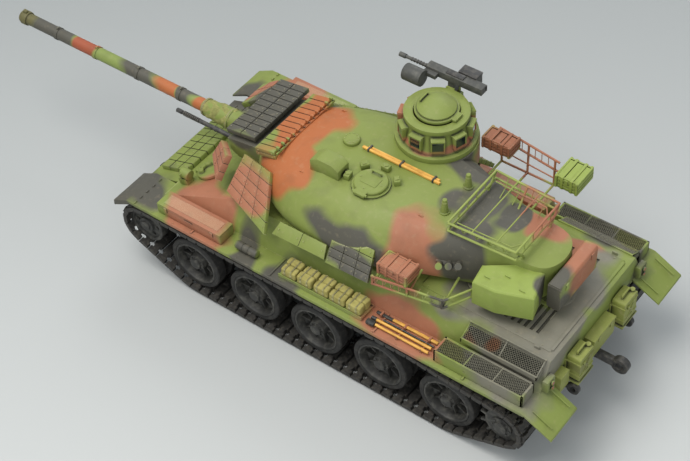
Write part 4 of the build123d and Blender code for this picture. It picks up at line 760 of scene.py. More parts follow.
fitted(joined("headlamp_glass", lamp_clear), "hull", lens_glass.material, "camouflage_plastic")
fitted(joined("tail_lamp_glass", lamp_red), "hull", red_lens.material, "camouflage_plastic")
fitted(joined("lamp_guards", guards), "hull", hull_paint, "camouflage_plastic")


# The stowage on the rear plate: two olive jerrycans with pressed ribs, held by straps and buckles, and a
# locker between them with a lid and two clasps.
CAN_PATCHES = ((srgb(118, 120, 66), (-205, 29, 68), (14, 8, 9)),)
can_paint = camouflage("can_olive", srgb(132, 138, 70), CAN_PATCHES, 0.1, 0.5, 0.7)
moulded("rear_stowage", "rear_lockers", "hull", can_paint, "camouflage_plastic", 0.4)
straps = []
for y in (29.0, -36.0):
    for z in (64.0, 77.0):
        straps.append(block("strap", -206.0, -193.2, y - 10.0, y + 10.0, z - 0.9, z + 0.9))
    for turn in (-34.0, 34.0):
        rib = block("pressing", -206.1, -205.2, y - 0.8, y + 0.8, 61.5, 78.5)
        straps.append(swung(rib, spot(-205.6, y, 70.0), math.radians(turn), "X"))
    straps.append(block("buckle", -206.8, -205.6, y + 3.0, y + 6.4, 75.6, 78.4))
straps.append(block("lid", -202.6, -193.0, -19.4, 12.4, 74.6, 76.4))
for y in (-12.0, 5.0):
    straps.append(block("clasp", -203.0, -201.9, y - 1.4, y + 1.4, 71.0, 75.4))
fitted(eased(joined("rear_straps", straps), 0.25, 1), "hull", can_paint, "camouflage_plastic")


# The towing pintle and eyes: blackened steel castings bolted to the rear plate and to the nose, worn
# bright along their edges with a painted highlight there, and painted shade in their hollows.
steel_black = shaded_black("hook_steel", srgb(50, 49, 47), srgb(120, 114, 102), 0.2, 0.45, 300.0)
moulded("tow_hooks", "tow_fittings", "hull", steel_black, "dark_steel", 0.35)


# Long lockers on the track guards, with overhanging lids, clasps and grips, all in painted plastic; with
# them a rolled cover tied in two places and the clips that hold the tools.
stowage_paint = camouflage("fender_box_camouflage", GREEN, HULL_PATCHES, 0.08, 0.3, 0.6)
lockers = []
for sign in (1, -1):
    low, high = sorted((sign * 75.4, sign * 92.5))
    spans = [(92.0, 158.0)] if sign > 0 else [(92.0, 158.0), (-104.0, -50.0), (-49.0, 4.0), (5.0, 60.0)]
    for x0, x1 in spans:
        box_top = 84.0 if x0 > 80.0 else 85.0
        lockers.append(eased(block("locker", x0, x1, low + 0.3, high - 0.3, 73.8, box_top - 2.2), 0.5))
        lockers.append(eased(block("locker_lid", x0, x1, low, high, box_top - 2.6, box_top), 0.7))
        for x in (x0 + 9.0, x1 - 9.0):
            lockers.append(eased(block("clasp", x - 1.5, x + 1.5, sign * 92.4 - 0.5, sign * 92.4 + 0.5,
                                       78.0, box_top - 1.0), 0.2, 1))
            lockers.append(bar("lid_hinge", (x - 3.0, sign * 75.9, box_top - 2.0),
                               (x + 3.0, sign * 75.9, box_top - 2.0), 0.7, 8))
        middle = (x0 + x1) / 2
        lockers.append(eased(block("lid_panel", x0 + 5.0, x1 - 5.0, low + 3.2, high - 3.2, box_top - 0.4,
                                   box_top + 0.25), 0.2, 1))
        grip_y = sign * 92.6
        lockers.append(bar("grip", (middle - 4.0, grip_y, 80.6), (middle + 4.0, grip_y, 80.6), 0.45, 8))
fitted(joined("fender_lockers", lockers), "hull", stowage_paint, "camouflage_plastic")
half_roll = [(11.0, 0.0), (10.9, 1.6), (10.4, 3.0), (9.0, 3.55),
             (3.5, 3.6), (3.2, 3.3), (2.6, 3.3), (2.3, 3.6)]
roll_profile = [(-along, out) for along, out in half_roll] + half_roll[::-1]
roll = turned("rolled_cover", roll_profile, spot(70.0, 86.0, 77.2), X, 28)
fitted(roll, "hull", stowage_paint, "camouflage_plastic", "fender_stowage")
clips = []
for x in (-100.0, -78.0, -56.0):
    clips.append(block("clip", x - 0.8, x + 0.8, 76.2, 81.0, 73.0, 76.6))
    clips.append(block("clip", x - 0.8, x + 0.8, 84.0, 92.2, 73.0, 74.6))
    clips.append(bar("clip_loop", (x, 84.2, 74.2), (x, 84.2, 77.4), 0.45, 6))
    clips.append(bar("clip_loop", (x, 92.0, 74.2), (x, 92.0, 77.4), 0.45, 6))
fitted(eased(joined("tool_clips", clips), 0.2, 1), "hull", stowage_paint, "camouflage_plastic")


# The pioneer tools, clipped flat on the left guard: turned ash shafts with a swelling grip, and a
# hammer's head, a shovel's blade and a pry bar in black steel.
def timber(name, pale, dark):
    """Varnished wood with grain along the machine's length."""
    finish = Finish(name)
    stretched = finish.vector("MULTIPLY", finish.place, (0.09, 1.0, 1.0))
    grain = finish.node("ShaderNodeTexNoise", {}, {"Vector": stretched, "Scale": 900.0, "Detail": 4.0})
    colour = finish.mix((grain * 1.5 - 0.3).held(), pale, dark)
    colour = finish.mix(((finish.noise(120.0) - 0.5) * 1.4).held(), colour, srgb(120, 78, 34))
    finish.bump(grain, 0.08, 0.5)
    return finish.set(Base_Color=colour, Roughness=0.42 + 0.2 * grain)


ash = timber("ash_wood", srgb(236, 186, 92), srgb(196, 134, 52))
shafts = [turned("shaft", [(-27.0, 0.0), (-27.0, 1.25), (-20.0, 1.3), (0.0, 1.05), (18.0, 1.2), (27.0, 1.3),
                           (27.0, 0.0)], spot(-79.0, 86.0, 75.8), X, 14),
          turned("shaft", [(-24.0, 0.0), (-24.0, 1.2), (-16.0, 1.25), (4.0, 1.0), (24.0, 1.15), (24.0, 0.0)],
                 spot(-82.0, 90.4, 75.8), X, 14),
          eased(block("saw_board", -107.0, -66.0, 77.4, 79.8, 74.2, 75.9), 0.5)]
fitted(joined("tool_shafts", shafts), "hull", ash, "camouflage_plastic")
irons = [eased(block("hammer_head", -57.6, -50.2, 88.6, 93.2, 74.4, 77.8), 0.8),
         eased(block("shovel_blade", -66.0, -51.0, 77.2, 80.0, 74.0, 75.4), 0.5),
         bar("pry_bar", (-106.0, 82.6, 74.6), (-60.0, 82.6, 74.6), 0.8, 8),
         bar("ferrule", (-56.0, 86.0, 75.8), (-51.6, 86.0, 75.8), 1.6, 14)]
fitted(joined("tool_irons", irons), "hull", steel_black, "dark_steel")


# Ten stuffed kit packs of pale olive canvas, in two rows in a shallow tray on the left guard, held down
# by webbing straps with buckles.
def canvas(name, tone, shade):
    """Woven canvas: crossed threads; folds darker in their low parts from dirt and painted shade; high spots
    faded and given a painted highlight; washes and painted shade in the hollows.
    """
    finish = Finish(name)
    threads = {"Vector": finish.place, "Scale": 620.0}
    warp = finish.node("ShaderNodeTexWave", {"bands_direction": "X"}, threads)
    weft = finish.node("ShaderNodeTexWave", {"bands_direction": "Y"}, threads)
    folds = finish.noise(170.0, 4.0)
    # The folds' low parts take the shade colour: dirt and painted shade.
    colour = finish.mix((folds * 1.8 - 0.5).held(), shade, tone)
    colour = finish.mix(((finish.noise(520.0, 4.0) - 0.5) * 2.0).held() * 0.5, colour, srgb(196, 184, 112))
    # Pale along the outer edges: faded canvas and a painted highlight.
    edge = 1.0 - finish.hollows(1.0, inside=True)
    colour = finish.mix(((edge - 0.4) * 1.5).held() * 0.6, colour, srgb(214, 206, 146))
    # Darker in the hollows: dark washes and painted shade.
    wash_and_painted_shade = 1.0 - finish.hollows(3.0)
    colour = finish.mix((wash_and_painted_shade * 1.2 - 0.1).held(), colour, srgb(44, 38, 22))
    finish.bump(warp * 0.3 + weft * 0.3 + folds * 2.0, 0.35, 0.7)
    return finish.set(Base_Color=colour, Roughness=0.78 + 0.1 * folds)


pack_canvas = canvas("pack_canvas", srgb(190, 180, 108), srgb(142, 132, 70))
strap_web = canvas("strap_web", srgb(128, 122, 84), srgb(84, 80, 56))
random.seed(7)
for k in range(5):
    x0 = -44.5 + 15.6 * k
    for row, (y0, y1) in enumerate(((76.8, 83.9), (84.1, 91.2))):
        height = 84.3 - random.uniform(0.0, 0.9)
        pack = block("kit_pack_%d_%d" % (k + 1, row + 1), x0 + random.uniform(0.0, 0.6),
                     x0 + 14.4 - random.uniform(0.0, 0.8), y0, y1, 75.9, height)
        only(pack)
        bpy.ops.object.mode_set(mode="EDIT")
        bpy.ops.mesh.select_all(action="SELECT")
        bpy.ops.mesh.bevel(offset=0.9 * MM, segments=2, affect="EDGES")
        bpy.ops.mesh.select_all(action="SELECT")
        bpy.ops.mesh.subdivide(number_cuts=2)
        bpy.ops.object.mode_set(mode="OBJECT")
        heart = sum((v.co for v in pack.data.vertices), Vector()) / len(pack.data.vertices)
        size = Vector(pack.dimensions) / 2
        for vertex in pack.data.vertices:
            away = vertex.co - heart
            share = [away[i] / size[i] for i in range(3)]
            inward = abs(share[0]) * abs(share[1]) * abs(share[2])
            crown = 1.03 - 0.04 * inward - 0.02 * (abs(share[0] * share[1]) + abs(share[1] * share[2]))
            jitter = 0.00018 * math.sin(vertex.co.x * 900.0 + k) * math.cos(vertex.co.y * 1100.0 + row)
            vertex.co = heart + away * crown + Vector((0.0, 0.0, jitter))
        smooth = pack.modifiers.new("stuffed", "SUBSURF")
        smooth.levels = 1
        smooth.render_levels = 1
        bpy.ops.object.modifier_apply(modifier="stuffed")
        bpy.ops.object.shade_smooth()
        fitted(pack, "hull", pack_canvas, "camouflage_plastic")
webbing = []
for k in range(5):
    x0 = -44.5 + 15.6 * k
    for x in (x0 + 4.2, x0 + 10.2):
        webbing.append(block("strap", x - 0.7, x + 0.7, 76.9, 91.3, 83.6, 84.45))
        webbing.append(block("strap", x - 0.7, x + 0.7, 90.75, 91.5, 75.8, 84.2))
        webbing.append(block("buckle", x - 1.1, x + 1.1, 91.2, 91.8, 79.2, 81.2))
fitted(eased(joined("pack_straps", webbing), 0.25, 1), "hull", strap_web, "camouflage_plastic")
tray = [block("tray", -46.0, 34.0, 76.0, 92.2, 73.0, 75.7),
        block("tray_side", -46.0, 34.0, 91.6, 92.4, 73.0, 77.4),
        block("tray_side", -46.0, 34.0, 75.8, 76.6, 73.0, 77.4)]
fitted(eased(joined("pack_tray", tray), 0.25, 1), "hull", stowage_paint, "camouflage_plastic")


# The turret: one smooth casting in plastic that turns on the hull's ring, with its camouflage sprayed on
# in soft-edged patches.
ORANGE = srgb(166, 96, 54)
TURRET_PATCHES = (
    (ORANGE, (74, 6, 140), (30, 56, 26)), (ORANGE, (62, 34, 128), (32, 22, 26)),
    (DARK_GREY, (-14, 66, 116), (40, 22, 20)), (TERRACOTTA, (-62, 44, 124), (27, 34, 34)),
    (DARK_GREY, (-96, 26, 128), (18, 40, 30)), (DARK_GREY, (-84, -4, 138), (18, 26, 22)),
    (DARK_GREY, (-72, -34, 138), (24, 20, 24)), (TERRACOTTA, (-140, -14, 132), (24, 16, 22)),
    (DARK_GREY, (-112, -10, 139), (12, 14, 12)), (DARK_GREY, (10, -60, 120), (26, 22, 30)),
    (TERRACOTTA, (-40, -66, 118), (28, 22, 26)), (DARK_GREY, (90, -46, 112), (26, 16, 20)))
turret_paint = camouflage("turret_camouflage", GREEN, TURRET_PATCHES, 0.16, 0.25, 0.5)
moulded("turret_shell", "turret_casting", "turret", turret_paint, "camouflage_plastic", 0.4, 0.6)


# The bricks round the turret, on the cheeks, the sides and the roof's front edge: cast boxes with two
# screws each, in tones of their own; a row of lugs stands along the roof bank.
CHEEK_PATCHES = (
    (TERRACOTTA, (88, 64, 118), (30, 26, 26)), (DARK_GREY, (-22, 76, 110), (26, 20, 16)),
    (ORANGE, (86, -4, 138), (16, 46, 8)), (TERRACOTTA, (126, 44, 112), (20, 20, 16)),
    (DARK_GREY, (86, -68, 112), (30, 24, 16)), (TERRACOTTA, (-34, -84, 110), (26, 20, 16)))
brick_paint = camouflage("brick_camouflage", GREEN, CHEEK_PATCHES, 0.1, 0.3, 0.75)
bricks = moulded("turret_armour", "turret_bricks", "turret", brick_paint, "camouflage_plastic", 0.3)


def outward(place):
    """Forwards, up and away from the turret's middle, on the side where the place is."""
    return Vector((0.35, 1.0 if place.y > 0.0 else -1.0, 0.45)).normalized()


heads = []
for centre, normal, edge in outer_faces(bricks, 36.0, outward):
    heads += screw_pair(centre, normal, edge, 0.36, 0.6)
screw_heads("brick_screws", heads, 0.62, "turret", brick_paint)
roof_up = Vector((0.2, 0.0, 0.98)).normalized()
ridges = []
for k in range(12):
    y = -36.0 + 6.3 * k
    ridges.append(block("lug", 73.6, 76.6, y - 1.6, y + 0.2, 139.6, 143.4))
    ridges.append(bar("lug_pin", (72.8, y - 0.8, 141.8), (77.2, y - 0.8, 141.8), 0.5, 6))
ridges.append(block("lug_rail", 72.4, 73.8, -38.5, 37.0, 139.0, 140.8))
fitted(eased(joined("roof_bank_lugs", ridges), 0.2, 1), "turret", brick_paint, "camouflage_plastic")


# The gun mask: a cast drum that tips with the gun, with banks of long narrow bricks above it and a folded
# canvas cover strapped over the gun's sleeve.
MASK_PATCHES = ((DARK_GREY, (121, -12, 126), (34, 52, 12)), (DARK_GREY, (112, -14, 116), (24, 40, 12)),
                (TERRACOTTA, (146, -30, 108), (12, 12, 12)))
GUN_Z = 108.0               # height of the gun's axis
mask_paint = camouflage("mask_camouflage", GREEN, MASK_PATCHES, 0.12, 0.3, 0.8)
mask = moulded("mantlet", "gun_mask", "gun", mask_paint, "camouflage_plastic", 0.35)
heads = []
for centre, normal, edge in outer_faces(mask, 60.0, lambda place: roof_up):
    if centre.z > 0.123:
        heads += screw_pair(centre, normal, edge, 0.37, 0.6)
screw_heads("mask_screws", heads, 0.6, "gun", mask_paint)
gun_canvas = canvas("gun_canvas", srgb(166, 164, 96), srgb(108, 110, 60))
cover = turned("sleeve_cover", [(-2.0, 8.8), (0.0, 9.1), (4.0, 9.2), (9.0, 8.8), (14.0, 8.7), (19.0, 8.0),
                                (24.0, 7.8), (28.0, 7.3), (29.0, 7.4), (30.0, 6.9), (30.0, 5.8)],
               spot(150.0, 0.0, GUN_Z), X, 56)
only(cover)
bpy.ops.object.mode_set(mode="EDIT")
bpy.ops.mesh.select_all(action="SELECT")
bpy.ops.mesh.subdivide(number_cuts=2)
bpy.ops.object.mode_set(mode="OBJECT")
for vertex in cover.data.vertices:
    x, y, z = vertex.co.x, vertex.co.y, vertex.co.z - GUN_Z * MM
    turn = math.atan2(z, y)
    fold = math.sin(x * 520.0 + 2.6 * math.sin(turn * 2.0)) * 0.00034
    fold += math.sin(turn * 5.0 + x * 260.0) * 0.00022
    if x < 0.0965:
        vertex.co.y += y / 0.009 * fold
        vertex.co.z += z / 0.009 * fold
bpy.ops.object.shade_smooth()
fitted(cover, "gun", gun_canvas, "camouflage_plastic")
bands = [turned("strap_ring", [(-0.9, 7.2), (-0.9, 8.0), (0.9, 7.8), (0.9, 7.1), (-0.9, 7.2)],
                spot(178.2, 0.0, GUN_Z), X, 40),
         turned("strap_ring", [(-0.9, 8.8), (-0.9, 9.5), (0.9, 9.5), (0.9, 8.8), (-0.9, 8.8)],
                spot(151.6, 0.0, GUN_Z), X, 40)]
fitted(joined("cover_straps", bands), "gun", strap_web, "camouflage_plastic")


# The barrel in its thermal sleeve: turned plastic, sprayed in bands, with four clamped joints and a
# collar and sight at the muzzle.
OLIVE_BROWN = srgb(96, 92, 58)
GUN_PATCHES = (
    (OLIVE_BROWN, (384, 0, GUN_Z), (12, 30, 30)), (DARK_GREY, (352, 0, GUN_Z), (22, 30, 30)),
    (srgb(150, 78, 52), (314, 0, GUN_Z), (15, 30, 30)), (DARK_GREY, (256, 0, GUN_Z), (19, 30, 30)),
    (ORANGE, (223, 0, GUN_Z), (13, 30, 30)), (DARK_GREY, (203, 0, GUN_Z), (7, 30, 30)),
    (ORANGE, (191, 0, GUN_Z), (5, 30, 30)))
barrel_paint = camouflage("barrel_camouflage", srgb(122, 136, 72), GUN_PATCHES, 0.05, 0.2, 0.5)
barrel = turned("barrel_sleeve", [(126.0, 5.6), (204.6, 5.6), (204.8, 6.1), (208.2, 6.1), (208.4, 5.6),
                                  (251.6, 5.6), (251.8, 6.1), (255.2, 6.1), (255.4, 5.55),
                                  (299.6, 5.5), (299.8, 6.0), (303.2, 6.0), (303.4, 5.4),
                                  (345.6, 5.3), (345.8, 5.8), (349.2, 5.8), (349.4, 5.2),
                                  (382.6, 5.2), (383.0, 6.2), (384.6, 6.4), (388.6, 6.4),
                                  (389.6, 5.6), (391.0, 5.4), (391.0, 3.3), (362.0, 3.3), (361.0, 0.0)],
                spot(0.0, 0.0, GUN_Z), X, 48)
fitted(barrel, "gun", barrel_paint, "camouflage_plastic", "gun_barrel")
clamps = []
for x in (206.4, 253.4, 301.4, 347.4):
    clamps.append(block("clamp", x - 1.2, x + 1.2, -1.3, 1.3, 113.4, 115.2))
    clamps.append(bar("clamp_bolt", (x, -2.0, 114.4), (x, 2.0, 114.4), 0.5, 6))
clamps.append(block("sight", 384.2, 388.4, -1.6, 1.6, 113.8, 116.4))
fitted(eased(joined("barrel_clamps", clamps), 0.2, 1), "gun", barrel_paint, "camouflage_plastic")


# The small cannon beside the gun: a thin blackened steel tube with a ringed jacket and a flash hider,
# fixed to the mask so that it tips with the gun.
CANNON_Y, CANNON_Z = 20.5, 113.0
cannon = turned("cannon", [(119.0, 2.0), (150.0, 2.0), (150.4, 2.25), (152.0, 2.25), (152.4, 1.9),
                           (168.0, 1.9), (168.4, 1.3), (186.6, 1.25), (187.0, 1.9), (192.6, 2.0),
                           (193.0, 1.6), (193.0, 0.8), (180.0, 0.8), (179.6, 0.0)],
                spot(0.0, CANNON_Y, CANNON_Z), X, 24)
cannon_parts = [cannon]
for k in range(9):
    cannon_parts.append(turned("jacket_ring", [(-0.4, 1.6), (-0.4, 2.1), (0.4, 2.1), (0.4, 1.6), (-0.4, 1.6)],
                               spot(169.5 + 1.9 * k, CANNON_Y, CANNON_Z), X, 16))
fitted(joined("small_cannon", cannon_parts), "gun", steel_black, "dark_steel", "coax_cannon")


# The commander's cupola: a cast ring that turns on the turret's roof, with ten vision blocks of dark
# glass under small hoods, and a domed lid on a hinge.
CUPOLA_X, CUPOLA_Y, CUPOLA_R = -19.0, -48.5, 28.0
CUPOLA_PATCHES = ((TERRACOTTA, (-22, -46, 156), (40, 38, 7)), (GREEN, (-18, -48, 168), (40, 40, 6)),
                  (DARK_GREY, (-2, -86, 160), (12, 12, 12)))
cupola_paint = camouflage("cupola_camouflage", GREEN, CUPOLA_PATCHES, 0.12, 0.25, 0.6)
moulded("cupola_ring", "cupola_casting", "cupola", cupola_paint, "camouflage_plastic", 0.45)
block_glass = Finish("vision_glass")
block_glass.set(Base_Color=srgb(34, 42, 46), Roughness=0.06 + 0.05 * block_glass.noise(300.0),
                Coat_Weight=1.0)
panes, hoods = [], []
centre = spot(CUPOLA_X, CUPOLA_Y, 0.0)
for k in range(10):
    turn = Matrix.Translation(centre) @ Matrix.Rotation(math.radians(k * 36.0 + 18.0), 4, "Z")
    pane = block("pane", HULL_MIDDLE + CUPOLA_R + 1.2, HULL_MIDDLE + CUPOLA_R + 1.75, -4.4, 4.4, 153.2, 161.4)
    pane.data.transform(turn)
    panes.append(eased(pane, 0.15, 1))
    hood = block("hood", HULL_MIDDLE + CUPOLA_R - 3.0, HULL_MIDDLE + CUPOLA_R + 2.6, -5.6, 5.6, 162.3, 163.9)
    hood.data.transform(turn)
    hoods.append(eased(hood, 0.4))
    for across in (-5.0, 5.0):
        post = block("post", HULL_MIDDLE + CUPOLA_R - 1.0, HULL_MIDDLE + CUPOLA_R + 2.3,
                     across - 0.6, across + 0.6, 152.0, 163.0)
        post.data.transform(turn)
        hoods.append(eased(post, 0.25, 1))
fitted(joined("vision_glass", panes), "cupola", block_glass.material, "camouflage_plastic")
fitted(joined("vision_hoods", hoods), "cupola", cupola_paint, "camouflage_plastic")
moulded("cupola_hatch", "cupola_lid", "cupola_hatch", cupola_paint, "camouflage_plastic", 0.35)


# The cupola's machine gun, with its round search lamp and ammunition box: dark plastic and steel on one
# pin, about which the whole of it tips.
gun_grey = shaded_black("gun_grey", srgb(70, 70, 66), srgb(118, 116, 104), 0.1, 0.5)
moulded("cupola_gun", "machine_gun", "cupola_gun", gun_grey, "camouflage_plastic", 0.35)
gun_y, gun_z, pin_x = -82.0, 164.5, -12.0
gun_bits = [turned("lamp_rim", [(-0.6, 5.7), (-0.6, 6.8), (0.0, 7.0), (0.5, 6.8), (0.5, 5.7), (-0.6, 5.7)],
                   spot(pin_x + 36.0, gun_y + 13.0, gun_z + 8.5), X, 32)]
for k in range(6):
    gun_bits.append(turned("cooling_ring", [(-0.4, 1.2), (-0.4, 1.75), (0.4, 1.75), (0.4, 1.2), (-0.4, 1.2)],
                           spot(pin_x + 26.0 + 2.6 * k, gun_y, gun_z + 10.0), X, 14))
for x in (pin_x - 28.0, pin_x - 24.0):
    gun_bits.append(bar("spade_grip", (x, gun_y - 3.4, gun_z + 8.2), (x, gun_y - 3.4, gun_z + 13.0), 0.8, 10))
gun_bits.append(block("cover_latch", pin_x - 10.0, pin_x + 6.0, gun_y - 3.0, gun_y + 2.2,
                      gun_z + 13.0, gun_z + 14.2))
gun_bits.append(block("box_lid", pin_x - 18.4, pin_x - 1.6, gun_y - 13.8, gun_y - 3.8,
                      gun_z + 13.0, gun_z + 14.6))
for bit in gun_bits[-2:]:
    eased(bit, 0.35)
fitted(joined("machine_gun_details", gun_bits), "cupola_gun", steel_black, "dark_steel")
lamp_front = turned("search_lamp_glass", [(-1.2, 0.0), (-1.25, 3.0), (-1.4, 5.8)],
                    spot(pin_x + 36.0, gun_y + 13.0, gun_z + 8.5), X, 28)
fitted(lamp_front, "cupola_gun", lens_glass.material, "camouflage_plastic")


# The loader's hatch in the turret's roof, a round lid with a pressed panel, bolts and a hinge pin, and
# the driver's hatch in the hull; both are plastic, painted with what lies round them.
moulded("loader_hatch", "loader_lid", "loader_hatch", turret_paint, "camouflage_plastic", 0.35)
lid_bits = [eased(block("lid_panel", -16.0, -2.0, 19.0, 30.0, 147.4, 148.1), 0.3),
            bar("lid_pin", (-15.5, 40.0, 146.6), (-2.5, 40.0, 146.6), 1.1, 12)]
for x, y in ((-18.5, 25.0), (0.5, 25.0), (-9.0, 34.5)):
    lid_bits.append(bar("lid_bolt", (x, y, 147.2), (x, y, 148.1), 0.7, 6))
fitted(joined("loader_lid_details", lid_bits), "loader_hatch", turret_paint, "camouflage_plastic")
moulded("driver_hatch", "driver_lid", "driver_hatch", hull_paint, "camouflage_plastic", 0.3)


# The racks behind the turret and along its sides: bent steel tube painted over, with round elbows at each
# corner and thin wires between the rails.
RACK_PATCHES = ((TERRACOTTA, (-138, -14, 150), (26, 24, 20)), (TERRACOTTA, (-62, 78, 108), (24, 16, 14)),
                (TERRACOTTA, (-80, -82, 136), (60, 16, 30)), (DARK_GREY, (-110, 70, 110), (14, 14, 14)))
rack_paint = camouflage("rack_camouflage", srgb(140, 152, 78), RACK_PATCHES, 0.04, 0.2, 0.4)
moulded("stowage_rack", "tube_racks", "turret", rack_paint, "camouflage_plastic", 0.12)


def tube(name, points, radius):
    """A round wire bent through points in hull millimetres, as one mesh."""
    bpy.ops.object.select_all(action="DESELECT")
    bpy.ops.curve.primitive_nurbs_path_add()
    wire = bpy.context.object
    wire.name = name
    wire.data.splines.clear()
    line = wire.data.splines.new("POLY")
    line.points.add(len(points) - 1)
    for target, place in zip(line.points, points):
        target.co = (*spot(*place), 1.0)
    wire.data.bevel_depth = radius * MM
    wire.data.bevel_resolution = 2
    wire.data.use_fill_caps = True
    bpy.ops.object.convert(target="MESH")
    piece = bpy.context.object
    bpy.ops.object.shade_smooth_by_angle(angle=math.radians(40.0))
    return piece


RAIL_Z = 153.0              # height of the basket's top rail
wires = []
for k in range(1, 5):
    x = -84.0 - 57.0 * k / 5.0
    half = 33.0 - 3.0 * k / 5.0
    for y in (half, -half):
        wires.append(tube("cross_wire", [(x, y, RAIL_Z), (x, y * 0.9, 145.2), (x, y * 0.62, 140.0)], 0.42))
for y in (-18.0, -6.0, 6.0, 18.0):
    wires.append(tube("rear_wire", [(-141.0, y, RAIL_Z), (-141.0, y, 145.0), (-139.0, y, 139.0)], 0.42))
    wires.append(tube("front_wire", [(-84.0, y, RAIL_Z), (-84.0, y, 145.0)], 0.42))
wires.append(tube("inner_hoop", [(-88.0, 26.0, 149.2), (-134.0, 24.0, 149.2), (-138.0, 18.0, 149.2),
                                 (-138.0, -18.0, 149.2), (-134.0, -24.0, 149.2), (-88.0, -26.0, 149.2)], 0.5))
for x, half in ((-104.0, 31.8), (-124.0, 30.8)):
    wires.append(tube("cross_bar", [(x, half, RAIL_Z), (x, -half, RAIL_Z)], 0.55))
for k in range(9):
    x = -49.0 - 6.5 * k
    y = 78.0 - 10.0 * (-46.0 - x) / 58.0
    wires.append(tube("side_wire", [(x, y, 112.0), (x, y, 104.0), (x + 0.6, y - 8.0, 106.4)], 0.32))
fitted(joined("rack_wires", wires), "turret", rack_paint, "camouflage_plastic")
right_wires = []
for x in (-66.0, -72.0, -78.0, -90.0, -96.0, -102.0):
    top = 146.5 - 8.5 * (-57.0 - x) / 55.0
    right_wires.append(tube("right_wire", [(x, -80.0, top), (x, -80.0, top - 10.0)], 0.35))
right_wires.append(tube("right_hoop", [(-62.0, -79.4, 124.0), (-108.0, -79.4, 120.0)], 0.6))
fitted(joined("right_rack_wires", right_wires), "turret", rack_paint, "camouflage_plastic")


# Crates and bins on the turret: three slatted ammunition crates with corner irons and hasps, the angular
# bin on the left and the long bin behind, all painted plastic.
BIN_PATCHES = ((TERRACOTTA, (-62, 66, 120), (24, 20, 16)), (TERRACOTTA, (-172, -10, 122), (14, 32, 30)),
               (DARK_GREY, (-172, 22, 120), (14, 16, 30)), (srgb(140, 88, 62), (-64, -70, 142), (22, 20, 14)))
bin_paint = camouflage("bin_camouflage", srgb(138, 154, 74), BIN_PATCHES, 0.06, 0.25, 0.7)
moulded("turret_crates", "crates_and_bins", "turret", bin_paint, "camouflage_plastic", 0.35)
slats = []
CRATES = ((-75.0, -48.0, 57.0, 73.0, 113.0, 123.5), (-77.5, -51.5, -77.5, -63.0, 137.0, 148.0),
          (-134.0, -113.5, -94.0, -71.0, 122.0, 134.0))
for x0, x1, y0, y1, z0, z1 in CRATES:
    for z in (z0 + 2.6, z0 + 5.8, z0 + 9.0):
        slats.append(block("slat", x0 - 0.35, x1 + 0.35, y0 - 0.35, y1 + 0.35, z - 0.9, z + 0.9))
    for k in range(3):
        x = x0 + (x1 - x0) * (k + 0.5) / 3.0
        slats.append(block("lid_slat", x - 2.6, x + 2.6, y0 + 1.8, y1 - 1.8, z1 - 1.6, z1 - 0.5))
    for x in (x0 + 1.2, x1 - 1.2):
        for y in (y0 - 0.5, y1 + 0.5):
            slats.append(block("corner_iron", x - 1.0, x + 1.0, y - 0.5, y + 0.5, z0, z1))
    middle = (x0 + x1) / 2
    for low in (y0 - 0.9, y1 + 0.2):
        slats.append(block("hasp", middle - 1.4, middle + 1.4, low, low + 0.7, z1 - 5.0, z1 - 1.0))
slats.append(turned("filler_cap", [(0.0, 0.0), (0.0, 4.6), (-0.5, 5.0), (-0.9, 5.0)],
                    spot(-178.3, -6.0, 122.0), BACKWARDS, 28))
slats.append(block("bin_lid_edge", -178.3, -166.8, -26.3, 26.3, 130.2, 131.4))
for y in (-18.0, 18.0):
    slats.append(block("bin_clasp", -178.9, -177.9, y - 1.8, y + 1.8, 126.0, 132.0))
for x, y in ((-140.0, 38.0), (-128.0, 47.0), (-156.0, 44.0)):
    slats.append(bar("bin_grip", (x - 2.5, y, 134.1), (x + 2.5, y, 134.1), 0.5, 8))
fitted(eased(joined("crate_irons", slats), 0.22, 1), "turret", bin_paint, "camouflage_plastic")


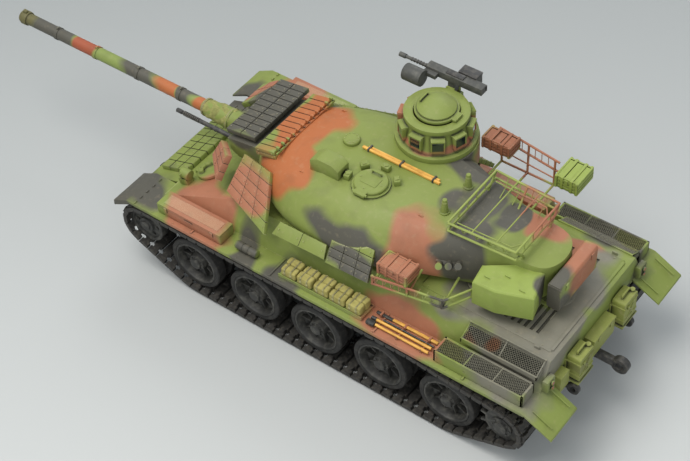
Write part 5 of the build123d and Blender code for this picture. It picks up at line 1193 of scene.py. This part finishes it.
# Roof fittings: the gunner's sight hood with a glass front, periscopes, the vent dome, the cleaning rod
# in varnished wood, antenna bases, smoke tubes and lifting eyes.
moulded("roof_fittings", "roof_castings", "turret", turret_paint, "camouflage_plastic", 0.35)
fittings = []
for x, y in ((-58.0, 30.0), (46.0, 40.0), (60.0, -34.0)):
    fittings.append(turned("lifting_eye", [(-0.7, 1.4), (-0.7, 2.6), (0.7, 2.6), (0.7, 1.4), (-0.7, 1.4)],
                           spot(x, y, 141.0 if x < 0 else 137.0), Y, 20))
fittings += bolt_ring("vent_bolt", 32.0, -6.0, 5.2, 10, 145.2, 146.4, 0.5)
for turn in (20, 70, 120, 170):
    angle = math.radians(turn + 200)
    x, y = -9.0 + 19.7 * math.cos(angle), 25.0 + 19.7 * math.sin(angle)
    fittings.append(bar("periscope_cap", (x, y, 147.4), (x, y, 148.6), 2.2, 4))
for x, y in ((-86.0, 46.0), (-92.0, 42.0), (-98.0, 38.0)):
    fittings.append(bar("smoke_tube", (x, y, 122.0), (x - 5.0, y + 9.0, 130.0), 2.3, 16))
    fittings.append(bar("tube_cap", (x - 5.0, y + 9.0, 130.0), (x - 5.5, y + 9.9, 130.8), 2.6, 16))
fittings.append(eased(block("tube_base", -101.0, -82.0, 36.0, 46.0, 120.5, 123.0), 0.4))
for x, y in ((-70.0, 16.0), (-70.0, -16.0)):
    for k in range(4):
        low_edge, high_edge = 2.9 - 0.2 * k, 2.8 - 0.2 * k
        coil = [(-0.5, 1.8), (-0.5, low_edge), (0.5, high_edge), (0.5, 1.8), (-0.5, 1.8)]
        fittings.append(turned("spring_coil", coil, spot(x, y, 145.0 + 2.4 * k), Z, 18))
fitted(joined("roof_small_fittings", fittings), "turret", turret_paint, "camouflage_plastic")
sight = eased(block("sight_glass", 40.6, 41.4, 24.0, 34.0, 144.5, 149.5), 0.2, 1)
fitted(sight, "turret", block_glass.material, "camouflage_plastic")
rod = [eased(block("rod", -52.0, 20.0, -5.6, -3.2, 143.3, 145.4), 0.4),
       eased(block("rod", -50.0, 16.0, -8.2, -6.2, 143.2, 144.8), 0.4)]
fitted(joined("cleaning_rod", rod), "turret", ash, "camouflage_plastic")
clips = []
for x in (-46.0, -16.0, 14.0):
    clips.append(eased(block("rod_clip", x - 0.8, x + 0.8, -8.9, -2.6, 142.6, 146.0), 0.25, 1))
fitted(joined("rod_clips", clips), "turret", steel_black, "dark_steel")
